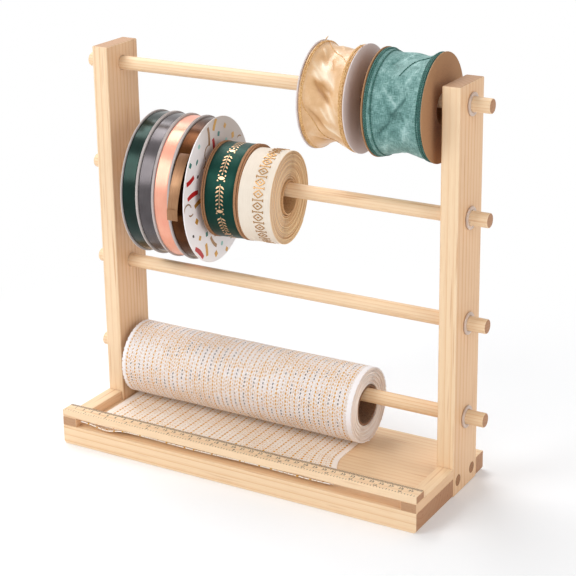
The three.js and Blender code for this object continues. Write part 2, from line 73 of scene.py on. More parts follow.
def tint(text):
    # An sRGB hex colour as linear light: ((c + 0.055) / 1.055) ** 2.4, or c / 12.92 for the darkest
    parts = [int(text[i:i + 2], 16) / 255 for i in (1, 3, 5)]
    linear = [c / 12.92 if c <= 0.04045 else ((c + 0.055) / 1.055) ** 2.4 for c in parts]
    return (*linear, 1.0)


def add(tree, kind, inputs=None, **settings):
    # One shader node: an input that is a socket is linked, any other is set
    made = tree.nodes.new("ShaderNode" + kind)
    for key, value in settings.items():
        setattr(made, key, value)
    for key, value in (inputs or {}).items():
        if isinstance(value, bpy.types.NodeSocket):
            tree.links.new(value, made.inputs[key])
        else:
            made.inputs[key].default_value = value
    return made


def makeCamera(place):
    # The axes are those of a camera that looks along its heading, tipped down, then rolled about its view
    heading, down, roll = (math.radians(place[k]) for k in ("heading", "down", "roll"))
    level = math.cos(down)
    forward = Vector((math.sin(heading) * level, math.cos(heading) * level, -math.sin(down)))
    right = Vector((math.cos(heading), -math.sin(heading), 0))
    up = right.cross(forward)
    rolledRight = math.cos(roll) * right + math.sin(roll) * up
    rolledUp = math.cos(roll) * up - math.sin(roll) * right
    turn = Matrix((rolledRight, rolledUp, -forward)).transposed().to_4x4()
    data = bpy.data.cameras.new("camera")
    data.lens = place["lens"]
    data.sensor_width = 36
    data.shift_y = place["shift"]
    camera = bpy.data.objects.new("camera", data)
    camera.matrix_world = Matrix.Translation(place["position"]) @ turn
    bpy.context.scene.collection.objects.link(camera)
    bpy.context.scene.camera = camera


def makeLamp(name, lamp):
    # A rectangular lamp that faces its aim
    data = bpy.data.lights.new(name, "AREA")
    data.shape = "RECTANGLE"
    data.size, data.size_y = lamp["size"]
    data.energy = lamp["power"]
    light = bpy.data.objects.new(name, data)
    light.location = lamp["place"]
    aim = Vector(lamp["aim"]) - Vector(lamp["place"])
    light.rotation_euler = aim.to_track_quat("-Z", "Y").to_euler()
    bpy.context.scene.collection.objects.link(light)


def seenDirectly(tree):
    # 1 for rays that show the surface itself or its picture in gloss and glass, 0 for light that bounces
    path = add(tree, "LightPath")
    direct = {0: path.outputs["Is Camera Ray"], 1: path.outputs["Is Glossy Ray"]}
    seen = add(tree, "Math", direct, operation="MAXIMUM")
    both = {0: seen.outputs[0], 1: path.outputs["Is Transmission Ray"]}
    return add(tree, "Math", both, operation="MAXIMUM").outputs[0]


def makeWorld(strength):
    # White surroundings: 1 where they are seen, and this strength where they light the object
    world = bpy.data.worlds.new("studio")
    world.use_nodes = True
    tree = world.node_tree
    seen = {0: seenDirectly(tree), 1: 1 - strength, 2: strength}
    level = add(tree, "Math", seen, operation="MULTIPLY_ADD")
    sky = tree.nodes["Background"]
    sky.inputs["Color"].default_value = (1, 1, 1, 1)
    tree.links.new(level.outputs[0], sky.inputs["Strength"])
    bpy.context.scene.world = world


def makeFloor(spec):
    # A pale floor that keeps the object's shadow near it and fades into plain white further out
    bpy.ops.mesh.primitive_plane_add(size=16, location=(0, 0, -0.0002))
    floor = bpy.context.object
    floor.name = "floor"
    material = bpy.data.materials.new("floor_white")
    material.use_nodes = True
    tree = material.node_tree
    tree.nodes.remove(tree.nodes["Principled BSDF"])
    matt = add(tree, "BsdfDiffuse", {"Color": tint(spec["floorColour"])})
    glow = add(tree, "Emission", {"Color": (1, 1, 1, 1), "Strength": 1})
    place = add(tree, "TexCoord").outputs["Object"]
    distance = add(tree, "VectorMath", {0: place}, operation="LENGTH").outputs["Value"]
    limits = {"Value": distance, 1: spec["glowStarts"], 2: spec["glowFull"], 3: spec["floorGlow"], 4: 1}
    fade = add(tree, "MapRange", limits, interpolation_type="SMOOTHSTEP").outputs[0]
    share = add(tree, "Math", {0: fade, 1: seenDirectly(tree)}, operation="MULTIPLY").outputs[0]
    mixed = add(tree, "MixShader", {0: share, 1: matt.outputs[0], 2: glow.outputs[0]})
    tree.links.new(mixed.outputs[0], tree.nodes["Material Output"].inputs["Surface"])
    floor.data.materials.append(material)


bpy.context.scene.view_settings.view_transform = "Standard"
makeCamera(cameraPlace)
for lamp in ("key", "top", "fill"):
    makeLamp(lamp, studio[lamp])
makeWorld(studio["world"])
makeFloor(studio)
print("camera, floor and light are set")

# Shapes that several pieces share, all in millimetres until they become a mesh


def gridFaces(rows, columns):
    # Quads between neighbouring rows and neighbouring columns of a grid of points
    first = np.arange(rows - 1)[:, None] * columns + np.arange(columns - 1)[None, :]
    return np.stack([first, first + 1, first + columns + 1, first + columns], -1).reshape(-1, 4)


def capFaces(loop):
    # A loop of points filled straight across: the k-th point faces the k-th from the end
    k = np.arange(len(loop) // 2 - 1)
    return np.stack([loop[k], loop[k + 1], loop[-k - 2], loop[-k - 1]], -1)


def lineLengths(points):
    # How far along a line of points each of them lies
    return np.concatenate([[0], np.cumsum(np.linalg.norm(np.diff(points, axis=0), axis=-1))])


def meshPiece(name, points, faces, surface=None, marks=None, sharp=sharpAngle, slots=None):
    # surface holds each point's place along and across the cloth, marks holds named numbers for each point
    mesh = bpy.data.meshes.new(name)
    mesh.vertices.add(len(points))
    mesh.vertices.foreach_set("co", np.ascontiguousarray(points * mm, np.float32).ravel())
    mesh.loops.add(faces.size)
    mesh.loops.foreach_set("vertex_index", np.ascontiguousarray(faces, np.int32).ravel())
    mesh.polygons.add(len(faces))
    mesh.polygons.foreach_set("loop_start", np.arange(0, faces.size, faces.shape[1], dtype=np.int32))
    if slots is not None:
        mesh.polygons.foreach_set("material_index", np.ascontiguousarray(slots, np.int32))
    mesh.update(calc_edges=True)
    if surface is not None:
        layer = mesh.uv_layers.new(name="cloth")
        layer.uv.foreach_set("vector", np.ascontiguousarray(surface[faces.ravel()], np.float32).ravel())
    for key, values in (marks or {}).items():
        layer = mesh.attributes.new(key, "FLOAT", "POINT")
        layer.data.foreach_set("value", np.ascontiguousarray(values, np.float32).ravel())
    return closedPiece(name, mesh, sharp)


def closedPiece(name, mesh, sharp):
    # Doubles are merged, normals point out, and faces meet smoothly below the sharp angle
    body = bmesh.new()
    body.from_mesh(mesh)
    bmesh.ops.remove_doubles(body, verts=body.verts, dist=0.0005 * mm)
    bmesh.ops.dissolve_degenerate(body, edges=body.edges, dist=0.0002 * mm)
    bmesh.ops.recalc_face_normals(body, faces=body.faces)
    body.to_mesh(mesh)
    body.free()
    mesh.shade_smooth()
    mesh.set_sharp_from_angle(angle=math.radians(sharp))
    piece = bpy.data.objects.new(name, mesh)
    bpy.context.scene.collection.objects.link(piece)
    return piece


def boxOf(node):
    # The lowest and highest corner of a CAD node
    low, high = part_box(node)
    return np.array(low) / mm, np.array(high) / mm


def axisOf(node):
    # The axis along X through the middle of a CAD node
    low, high = boxOf(node)
    return {"y": (low[1] + high[1]) / 2, "z": (low[2] + high[2]) / 2, "middle": 0, "lean": 0}


def wrap(angle, x, radius, axis):
    # Angle runs from the top towards the front: y = axisY - r sin a, z = axisZ + r cos a;
    # a load that hangs askew is then turned about the upright line through its middle
    angle, x, radius = np.broadcast_arrays(angle, x, radius)
    aside, back = x - axis["middle"], -radius * np.sin(angle)
    lean = math.radians(axis["lean"])
    turnedX = axis["middle"] + aside * math.cos(lean) - back * math.sin(lean)
    turnedY = axis["y"] + aside * math.sin(lean) + back * math.cos(lean)
    return np.stack([turnedX, turnedY, axis["z"] + radius * np.cos(angle)], -1)


def wound(name, angle, x, radius, axis, marks=None, capped=False, sharp=sharpAngle):
    # A section (x, radius) carried round an axis along X; rows follow the angle, columns the section.
    # The place along the cloth grows by each row's longest step
    points = wrap(angle, x, radius, axis)
    rows, columns = points.shape[:2]
    steps = np.linalg.norm(np.diff(points, axis=0), axis=-1).max(1)
    along = np.concatenate([[0], np.cumsum(steps)])
    across = lineLengths(points[0])
    surface = np.stack(np.broadcast_arrays(along[:, None], across[None, :]), -1).reshape(-1, 2)
    faces = gridFaces(rows, columns)
    if capped:
        ends = np.arange(columns - 1)
        faces = np.concatenate([faces, capFaces(ends), capFaces(ends + (rows - 1) * columns)])
    spread = {key: np.broadcast_to(value, (rows, columns)).ravel() for key, value in (marks or {}).items()}
    return meshPiece(name, points.reshape(-1, 3), faces, surface, spread, sharp)


def turned(name, section, axis, sides, marks=None):
    # A section carried once round the axis
    angle = np.linspace(0, fullTurn, sides + 1)[:, None]
    return wound(name, angle, section[None, :, 0], section[None, :, 1], axis, marks)


def ribbonRing(name, angle, x, top, inner, load, relief=None, sharp=sharpAngle):
    # A winding's outside, closed by a plain wall at the inner radius; relief becomes the mark "fold"
    foot = np.full_like(angle, inner)
    radius = np.concatenate([top, foot, foot, top[:, :1]], 1)
    across = np.concatenate([x, x[:, -1:], x[:, :1], x[:, :1]], 1)
    marks = {}
    if relief is not None:
        marks["fold"] = np.concatenate([relief, 0 * foot, 0 * foot, relief[:, :1]], 1)
    return wound(name, angle, across, radius, load, marks, sharp=sharp)


def woundStrip(name, angle, x0, x1, radius, thick, load, marks=None):
    # A strip wound in a spiral: its section is a rectangle with cut corners, on the radius of each row
    cut = 0.15
    corners = [
        (x1 - cut, thick), (x0 + cut, thick), (x0, thick - cut), (x0, cut), (x0 + cut, 0),
        (x1 - cut, 0), (x1, cut), (x1, thick - cut), (x1 - cut, thick),
    ]
    across = np.concatenate([corner[0] for corner in corners], 1)
    height = np.concatenate([radius + corner[1] for corner in corners], 1)
    return wound(name, angle, across, height, load, marks, capped=True)


def roundedSection(x0, x1, r0, r1, edge, steps=3):
    # A rectangle whose corners are quarter circles of the edge radius, as a loop that ends where it starts
    bend = np.linspace(0, math.pi / 2, steps + 1)
    corners = [(x1 - edge, r1 - edge), (x0 + edge, r1 - edge), (x0 + edge, r0 + edge), (x1 - edge, r0 + edge)]
    loop = []
    for k, (x, r) in enumerate(corners):
        arc = bend + k * math.pi / 2
        loop.append(np.stack([x + edge * np.cos(arc), r + edge * np.sin(arc)], -1))
    loop = np.concatenate(loop)
    return np.concatenate([loop, loop[:1]])


def settle(piece, node, body, material):
    # Where a piece belongs: the CAD node it replaces, if any, and its body; a piece that has no
    # material yet gets this one
    if not piece.data.materials:
        piece.data.materials.append(material)
    if node:
        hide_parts(node)
    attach(piece, body)


def keepFlat(piece):
    # Large faces keep their own normal, so that only the eased edges shade round
    flats = piece.modifiers.new("flats", "WEIGHTED_NORMAL")
    flats.keep_sharp = True
    flats.weight = 100


def easedBar(name, low, high, edge, steps=4):
    # A rounded rectangle carried along the longest side; near each end it shrinks by r(1 - cos t)
    # while it advances by r sin t, which makes every edge and corner round
    along = int(np.argmax(high - low))
    order = [(along + 1) % 3, (along + 2) % 3, along]
    half = (high - low)[order] / 2
    bend = np.linspace(0, math.pi / 2, steps + 1)
    shrink = edge * (1 - np.cos(bend))
    advance = edge * np.sin(bend)
    inset = np.concatenate([shrink[::-1], shrink])
    place = np.concatenate([-half[2] + edge - advance[::-1], half[2] - edge + advance])
    loop = []
    for k, (a, b) in enumerate([(1, 1), (-1, 1), (-1, -1), (1, -1)]):
        arc = bend + k * math.pi / 2
        curve = (edge - inset)[:, None]
        u = a * (half[0] - edge) + curve * np.cos(arc)
        v = b * (half[1] - edge) + curve * np.sin(arc)
        loop.append(np.stack([u, v], -1))
    ring = np.concatenate(loop, 1)
    ring = np.concatenate([ring, ring[:, :1]], 1)
    points = np.empty((*ring.shape[:2], 3))
    points[..., order[0]] = ring[..., 0]
    points[..., order[1]] = ring[..., 1]
    points[..., order[2]] = place[:, None]
    points += (low + high) / 2
    rows, columns = points.shape[:2]
    ends = np.arange(columns - 1)
    caps = [capFaces(ends), capFaces(ends + (rows - 1) * columns)]
    faces = np.concatenate([gridFaces(rows, columns), *caps])
    return meshPiece(name, points.reshape(-1, 3), faces)


def bored(piece, cutters):
    # Each cutter's body is taken out of the piece, and the cutters are then removed
    for cutter in cutters:
        cut = piece.modifiers.new(cutter.name, "BOOLEAN")
        cut.operation = "DIFFERENCE"
        cut.solver = "EXACT"
        cut.object = cutter
    graph = bpy.context.evaluated_depsgraph_get()
    mesh = bpy.data.meshes.new_from_object(piece.evaluated_get(graph))
    piece.modifiers.clear()
    piece.data = mesh
    for cutter in cutters:
        bpy.data.objects.remove(cutter)
    mesh.shade_smooth()
    mesh.set_sharp_from_angle(angle=math.radians(sharpAngle))


def patches(name, shapes, surface, materials, rise=0.07, sink=0.12, stations=9):
    # Flat shapes laid on a surface: each row is u, v, heading in degrees, length, width, bend in degrees,
    # taper and material. The middle line turns evenly by the bend, and towards the ends, where t is -1
    # and 1, the width falls by taper * t ** 2
    table = np.array([shape[:7] for shape in shapes], float)
    u, v, heading, length, width, bend, taper = (table[:, k, None] for k in range(7))
    t = np.linspace(-1, 1, stations)[None, :]
    turn = np.radians(heading + bend * t / 2)
    step = np.stack([np.cos(turn), np.sin(turn)], -1) * (length / (stations - 1))[..., None]
    line = np.cumsum(step, 1) - step / 2
    line = line - line[:, stations // 2, None, :] + np.stack([u, v], -1)
    half = width / 2 * (1 - taper * t ** 2)
    side = np.stack([-np.sin(turn), np.cos(turn)], -1) * half[..., None]
    corners = np.stack([line + side, line - side, line - side, line + side, line + side], 2)
    height = np.array([rise, rise, -sink, -sink, rise])
    points = surface(corners[..., 0], corners[..., 1], np.broadcast_to(height, corners.shape[:3]))
    block = gridFaces(stations, 5)
    ends = np.arange(4)
    block = np.concatenate([block, capFaces(ends), capFaces(ends + (stations - 1) * 5)])
    starts = np.arange(len(shapes)) * stations * 5
    faces = (block[None] + starts[:, None, None]).reshape(-1, 4)
    slots = np.repeat([shape[7] for shape in shapes], len(block))
    piece = meshPiece(name, points.reshape(-1, 3), faces, slots=slots)
    for material in materials:
        piece.data.materials.append(material)
    return piece


# Materials


def newMaterial(name, **sockets):
    # Each keyword is the name of a shader socket, with _ for a space
    material = bpy.data.materials.new(name)
    material.use_nodes = True
    tree = material.node_tree
    shader = tree.nodes["Principled BSDF"]
    for key, value in sockets.items():
        shader.inputs[key.replace("_", " ")].default_value = value
    return material, tree, shader


def ramp(tree, factor, stops):
    # stops are (place, hex colour or grey level)
    made = add(tree, "ValToRGB", {0: factor})
    elements = made.color_ramp.elements
    while len(elements) < len(stops):
        elements.new(0.5)
    for element, (place, value) in zip(elements, stops):
        element.position = place
        element.color = tint(value) if isinstance(value, str) else (value, value, value, 1)
    return made.outputs["Color"]


def blend(tree, factor, first, second, mode="MIX"):
    # The first colour where the factor is 0; where it is 1 the second, or their product by MULTIPLY
    return add(tree, "Mix", {0: factor, 6: first, 7: second}, data_type="RGBA", blend_type=mode).outputs[2]


def sums(tree, operation, *values):
    # One step of arithmetic on up to three values
    return add(tree, "Math", dict(enumerate(values)), operation=operation).outputs[0]


def bump(tree, shader, height, distance):
    # A relief of this many metres where the height goes from 0 to 1
    made = add(tree, "Bump", {"Height": height, "Distance": distance, "Strength": 1.0})
    tree.links.new(made.outputs[0], shader.inputs["Normal"])


def noise(tree, vector, scale, detail=2.0, stretch=None, rough=0.5):
    # Fractal noise from 0 to 1 with this many features per unit; a stretch below 1 draws them out
    if stretch:
        vector = add(tree, "Mapping", {"Vector": vector, "Scale": stretch}).outputs[0]
    inputs = {"Vector": vector, "Scale": scale, "Detail": detail, "Roughness": rough}
    return add(tree, "TexNoise", inputs).outputs["Fac"]


def mark(tree, name):
    # A number that the mesh holds for each of its points
    return add(tree, "Attribute", attribute_name=name).outputs["Fac"]


def plainWeave(tree, vector, scale, squash):
    # Threads along the cloth and threads across it in equal parts, each noise drawn out one way
    along = noise(tree, vector, scale, 2, stretch=(squash, 1, 1))
    across = noise(tree, vector, scale, 2, stretch=(1, squash, 1))
    return sums(tree, "MULTIPLY_ADD", along, 0.5, sums(tree, "MULTIPLY", across, 0.5))


def paint(tree, shader, colour, height=None, relief=0.0):
    # The colour and, where a height is given, its relief in millimetres
    tree.links.new(colour, shader.inputs["Base Color"])
    if relief:
        bump(tree, shader, height, relief * mm)


def clothPlace(tree):
    # Millimetres along and across the cloth, from its own UV map
    vector = add(tree, "UVMap", uv_map="cloth").outputs[0]
    split = add(tree, "SeparateXYZ", {0: vector})
    return vector, split.outputs["X"], split.outputs["Y"]


pineLook = {
    "early": "#F2D5B1",
    "middle": "#EAC599",
    "late": "#DAA873",
    "streak": "#C98F5C",
    "endGrainAndShade": "#A98468",
    "paintedSideShade": "#F6E9E0",
    "roughness": 0.55,
}

grainTurn = {"X": (0, -math.pi / 2, 0), "Y": (math.pi / 2, 0, 0), "Z": (0, 0, 0)}
grainStretch = {"X": (0.045, 1, 1), "Y": (1, 0.045, 1), "Z": (1, 1, 0.045)}


def pine(name, grain, pith, spacing, waver=7.0):
    # Growth rings round a pith line that runs with the grain, at this place in mm across it: a saw wave
    # of the distance from the pith, bent by slow noise, plus fine streaks and pores along the grain.
    # Faces towards ±X get painted shade, and cut ends a darker end-grain tint that also holds painted shade,
    # both chosen by their own normal
    look = pineLook
    material, tree, shader = newMaterial(name, Roughness=look["roughness"])
    coordinate = add(tree, "TexCoord")
    place = coordinate.outputs["Object"]
    turn = {"Vector": place, "Rotation": grainTurn[grain], "Scale": grainStretch[grain]}
    turn["Location"] = (pith[0] * mm, pith[1] * mm, 0.37 * pith[0] * mm)
    log = add(tree, "Mapping", turn).outputs[0]
    scale = fullTurn / 20 / (spacing * mm)
    ringInputs = {"Vector": log, "Scale": scale, "Distortion": waver, "Detail": 2, "Detail Scale": 0.13}
    ringKind = {"wave_type": "RINGS", "rings_direction": "Z", "wave_profile": "SAW"}
    rings = add(tree, "TexWave", ringInputs, **ringKind).outputs["Fac"]
    stops = [
        (0, look["early"]), (0.55, look["early"]), (0.86, look["middle"]), (0.97, look["late"]),
        (1, look["early"]),
    ]
    clear = ramp(tree, noise(tree, log, 38, 3), [(0.35, 0.25), (0.68, 1.0)])
    base = blend(tree, clear, tint(look["early"]), ramp(tree, rings, stops))
    warm = noise(tree, log, 14)
    base = blend(tree, ramp(tree, warm, [(0.4, 0.0), (0.75, 0.42)]), base, tint(look["middle"]))
    fine = noise(tree, log, 900, 2, rough=0.6)
    base = blend(tree, ramp(tree, fine, [(0.52, 0.0), (0.78, 0.32)]), base, tint(look["late"]))
    pores = noise(tree, log, 260, 1)
    base = blend(tree, ramp(tree, pores, [(0.66, 0.0), (0.76, 0.5)]), base, tint(look["streak"]))
    # Painted shade on faces towards ±X; on cut ends the darker end-grain tint is partly painted shade
    facing = add(tree, "SeparateXYZ", {0: coordinate.outputs["Normal"]})
    sides = ramp(tree, sums(tree, "ABSOLUTE", facing.outputs["X"]), [(0.7, 0.0), (0.92, 1.0)])
    base = blend(tree, sides, base, tint(look["paintedSideShade"]), "MULTIPLY")
    ends = ramp(tree, sums(tree, "ABSOLUTE", facing.outputs[grain]), [(0.7, 0.0), (0.92, 0.75)])
    base = blend(tree, ends, base, tint(look["endGrainAndShade"]), "MULTIPLY")
    paint(tree, shader, base, sums(tree, "ADD", sums(tree, "MULTIPLY", rings, 0.5), fine), 0.05)
    return material


def flecked(name, dark, light, scale, relief=0.0, **sockets):
    # One even material whose colour runs between two tints by a noise of this many features a metre
    material, tree, shader = newMaterial(name, **sockets)
    flecks = noise(tree, add(tree, "TexCoord").outputs["Object"], scale, 4, rough=0.65)
    paint(tree, shader, ramp(tree, flecks, [(0.33, dark), (0.66, light)]), flecks, relief)
    return material


def cardboard(name, dark, light, rim, streak=0.25):
    # Pressed fibres: fine flecks over slow streaks that lie flat in the board, and a cut rim of another tint
    material, tree, shader = newMaterial(name, Roughness=0.85)
    place = add(tree, "TexCoord").outputs["Object"]
    fibres = noise(tree, place, 900, 4, stretch=(1, 0.35, 1), rough=0.7)
    slow = noise(tree, place, 60, 3, stretch=(1, 1, 0.3))
    mixed = sums(tree, "MULTIPLY_ADD", slow, streak, sums(tree, "MULTIPLY", fibres, 1 - streak))
    colour = ramp(tree, mixed, [(0.36, dark), (0.62, light)])
    colour = blend(tree, mark(tree, "rim"), colour, tint(rim))
    paint(tree, shader, colour, fibres, 0.05)
    return material


def satin(name, dark, light, rough, gloss, lustre, start=None):
    # Smooth threads along the ribbon: noise drawn out along it, and a faint relief of the same threads;
    # the lustre is the share of light that comes back in the thread's own colour, and a start colour, which
    # is painted shade, gives way to the others where the mark "turn" grows on the mesh
    sockets = {"Roughness": rough, "Specular_IOR_Level": gloss, "Metallic": lustre}
    material, tree, shader = newMaterial(name, **sockets)
    vector, _, _ = clothPlace(tree)
    threads = noise(tree, vector, 2.2, 2, stretch=(0.03, 1, 1), rough=0.6)
    slow = noise(tree, vector, 0.05, 2)
    mixed = sums(tree, "MULTIPLY_ADD", slow, 0.5, sums(tree, "MULTIPLY", threads, 0.5))
    colour = ramp(tree, mixed, [(0.36, dark), (0.64, light)])
    # The start colour is painted shade, which fades as the mark grows
    if start:
        colour = blend(tree, mark(tree, "turn"), tint(start), colour)
    paint(tree, shader, colour, threads, 0.02)
    return material


def foil(name, dark, light):
    return flecked(name, dark, light, 1500, Metallic=0.85, Roughness=0.34)


kraft = cardboard("kraft_board", "#94694A", "#B1825A", "#A87C56")

# Wood, plugs, screws, rods and washers

boardSpec = {"edge": 0.8, "pith": (35, 60)}
postSpec = {"edge": 1.3, "holePlay": 0.4, "plugPlay": 0.15, "boreDepth": 9.3, "boreSides": 64, "overshoot": 5}
barSpec = {"edge": 0.8}
railSpec = {"edge": 0.6}
rodSpec = {"edge": 1.0, "sides": 56}
washerSpec = {"edge": 0.7, "sides": 72, "play": 0.3}
plugSpec = {"edge": 0.4, "sides": 40, "light": "#B27F54", "dark": "#7C5232"}
rodNames = ("top", "second", "third", "lowest")


def easedBoard(spec):
    # A merged copy of the CAD board, whose sharp edges are eased
    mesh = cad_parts["base_board"].data.copy()
    mesh.materials.clear()
    body = bmesh.new()
    body.from_mesh(mesh)
    bmesh.ops.remove_doubles(body, verts=body.verts, dist=0.01 * mm)
    bmesh.ops.dissolve_limit(body, angle_limit=math.radians(1), verts=body.verts, edges=body.edges)
    body.to_mesh(mesh)
    body.free()
    mesh.shade_smooth()
    mesh.set_sharp_from_angle(angle=math.radians(sharpAngle))
    board = bpy.data.objects.new("base_board_eased", mesh)
    bpy.context.scene.collection.objects.link(board)
    ease = board.modifiers.new("eased_edges", "BEVEL")
    ease.width = spec["edge"] * mm
    ease.segments = 3
    ease.limit_method = "ANGLE"
    ease.angle_limit = math.radians(40)
    keepFlat(board)
    return board


def boreCutter(name, node, x0, x1, play, sides):
    # A cylinder round a CAD node's axis, wider than the node by the play all round
    low, high = boxOf(node)
    radius = (high[2] - low[2]) / 2 + play
    section = np.array([(x0, 0), (x0, radius), (x1, radius), (x1, 0)])
    return turned(name, section, axisOf(node), sides)


def boredPost(side, spec):
    # The post's eased bar with a round hole for each rod and a counterbore for each screw
    low, high = boxOf(f"{side}_post")
    post = easedBar(f"{side}_post_planed", low, high, spec["edge"])
    past, sides = spec["overshoot"], spec["boreSides"]
    x0, x1 = low[0] - past, high[0] + past
    cutters = []
    for name in rodNames:
        cutters.append(boreCutter(f"{name}_hole", f"{name}_rod", x0, x1, spec["holePlay"], sides))
    outer, inward = (high[0], -1) if side == "right" else (low[0], 1)
    x0, x1 = sorted([outer - inward * past, outer + inward * spec["boreDepth"]])
    for name in ("front", "back"):
        plug = f"{side}_{name}_plug"
        cutters.append(boreCutter(f"{name}_counterbore", plug, x0, x1, spec["plugPlay"], sides))
    bored(post, cutters)
    keepFlat(post)
    return post


def roundStick(name, node, spec, steps=4):
    # A solid round bar with rounded rims, from the middle of one end to the middle of the other
    low, high = boxOf(node)
    radius = (high[2] - low[2]) / 2
    edge = spec["edge"]
    bend = np.linspace(0, math.pi / 2, steps + 1)
    rim = np.stack([edge * (1 - np.sin(bend[::-1])), radius - edge + edge * np.cos(bend[::-1])], -1)
    near = rim + (low[0], 0)
    far = np.stack([high[0] - rim[::-1, 0], rim[::-1, 1]], -1)
    section = np.concatenate([[(low[0], 0)], near, far, [(high[0], 0)]])
    return turned(name, section, axisOf(node), spec["sides"])


board = easedBoard(boardSpec)
settle(board, "base_board", "holder", pine("pine_board", "X", boardSpec["pith"], spacing=6))
rulerBar = easedBar("ruler_bar_planed", *boxOf("ruler_bar"), barSpec["edge"])
keepFlat(rulerBar)
settle(rulerBar, "ruler_bar", "holder", pine("pine_bar", "X", (9, 22), spacing=7, waver=4))
plugEnds = flecked("plug_end_grain", plugSpec["dark"], plugSpec["light"], 700, 0.15, Roughness=0.65)
zinc = flecked("zinc_steel", "#A8A9A6", "#CBCBC6", 1200, Metallic=1.0, Roughness=0.35)
clearLook = {"Roughness": 0.32, "Transmission_Weight": 0.35, "IOR": 1.41}
rubber = flecked("clear_silicone", "#E6CFBF", "#F1DFD2", 160, **clearLook)
for side, sign in (("left", -1), ("right", 1)):
    rail = easedBar(f"{side}_side_rail_planed", *boxOf(f"{side}_side_rail"), railSpec["edge"])
    keepFlat(rail)
    grain = pine(f"pine_{side}_rail", "Y", (-190 * sign, 38), spacing=3.5)
    settle(rail, f"{side}_side_rail", "holder", grain)
    post = boredPost(side, postSpec)
    grain = pine(f"pine_{side}_post", "Z", (-150 * sign, 24), spacing=5)
    settle(post, f"{side}_post", "holder", grain)
    for name in ("front", "back"):
        node = f"{side}_{name}_plug"
        settle(roundStick(f"{node}_sanded", node, plugSpec), node, "holder", plugEnds)
        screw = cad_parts[f"{side}_{name}_screw"].data
        screw.materials.clear()
        screw.materials.append(zinc)
for k, name in enumerate(rodNames):
    node = f"{name}_rod"
    axis = axisOf(node)
    grain = pine(f"pine_{node}", "X", (-axis["z"] + 13 + 5 * k, 20 - 3 * k), spacing=3, waver=5)
    settle(roundStick(f"{node}_turned", node, rodSpec), node, node, grain)
    low, high = boxOf(f"{node}_washer")
    rodLow, rodHigh = boxOf(node)
    inner = (rodHigh[2] - rodLow[2]) / 2 + washerSpec["play"]
    section = roundedSection(low[0], high[0], inner, (high[2] - low[2]) / 2, washerSpec["edge"])
    washer = turned(f"{node}_washer_moulded", section, axis, washerSpec["sides"])
    settle(washer, f"{node}_washer", f"{name}_washer", rubber)
print("wood, plugs and washers are made")

# Reels: cards, cores and level satin

loads = {
    # left end and width along the rod, height of the axis, and how askew it hangs in degrees
    "gold": {"left": 45.5, "width": 48, "z": 370.9, "lean": 3},
    "teal": {"left": 112, "width": 59, "z": 370.9, "lean": 3},
    "green": {"left": -147, "width": 17.8, "z": 260.35, "lean": 6},
    "grey": {"left": -128.3, "width": 17.8, "z": 260.35, "lean": 6},
    "peach": {"left": -109.6, "width": 17.8, "z": 260.35, "lean": 6},
    "brown": {"left": -90.9, "width": 17.8, "z": 260.35, "lean": 6},
    "green_foil": {"left": -66.1, "width": 40.1, "z": 263.35, "lean": 6},
    "cream_foil": {"left": -25.2, "width": 34.5, "z": 263.35, "lean": 6},
    "mesh": {"left": -174, "width": 271, "z": 62.8, "lean": 0},
}
rodLine = 31.5  # the axes of all four rods are at this y
for load in loads.values():
    load["y"] = rodLine
    load["middle"] = load["left"] + load["width"] / 2

cardSpec = {
    "thick": 1.2, "edge": 0.35, "sides": 160, "gap": 0.3, "coreWall": 1.5, "coreEdge": 0.2, "coreSides": 80,
}
reelSpecs = {
    "gold": {"card": 51.25, "bore": 15, "slot": "grey_card"},
    "teal": {"card": 51, "bore": 15, "slot": "kraft_card"},
    "green": {"card": 72, "bore": 19, "slot": "white_card"},
    "grey": {"card": 72, "bore": 19, "slot": "white_card"},
    "peach": {"card": 72, "bore": 19, "slot": "white_card"},
    "brown": {"card": 72, "bore": 19, "slot": "white_card"},
}
printedRadius = 73.25
cards = {
    "kraft_card": kraft,
    "grey_card": cardboard("grey_board", "#9A8272", "#B9A79B", "#D8CDCB", streak=0.7),
    # The white cards are tinted grey, darker at the rim: painted shade of the narrow gaps between the reels
    "white_card": cardboard("white_board_painted_gap_shade", "#BBB3B1", "#CDC6C4", "#BDB4B1"),
}


def disc(name, load, x0, x1, bore, radius, spec):
    # A punched card: the mark "rim" is 1 in its outermost half millimetre
    section = roundedSection(x0, x1, bore, radius, spec["edge"])
    rim = (section[:, 1] > radius - 0.5).astype(float)
    return turned(name, section, load, spec["sides"], {"rim": rim[None, :]})


def rolledCore(name, load, x0, x1, bore, outer, spec):
    # A cardboard tube without the tint of a cut rim
    tube = roundedSection(x0, x1, bore, outer, spec["coreEdge"])
    return turned(f"{name}_core_rolled", tube, load, spec["coreSides"], {"rim": np.zeros((1, 1))})


def printedBoard():
    # White board with painted shade: the ground runs from cool white to warm grey at the upper back, by 5 y +
    # 5 z in metres
    material, tree, shader = newMaterial("printed_board", Roughness=0.5)
    place = add(tree, "TexCoord").outputs["Object"]
    split = add(tree, "SeparateXYZ", {0: place})
    upward = sums(tree, "MULTIPLY", split.outputs["Z"], 5.0)
    level = sums(tree, "MULTIPLY_ADD", split.outputs["Y"], 5.0, upward)
    soft = sums(tree, "ADD", level, sums(tree, "MULTIPLY", noise(tree, place, 30), 0.15))
    # The warm grey towards the upper back is painted shade
    paint(tree, shader, ramp(tree, sums(tree, "SUBTRACT", soft, 1.4), [(0.2, "#F8F4F5"), (0.5, "#D9CCC3")]))
    return material


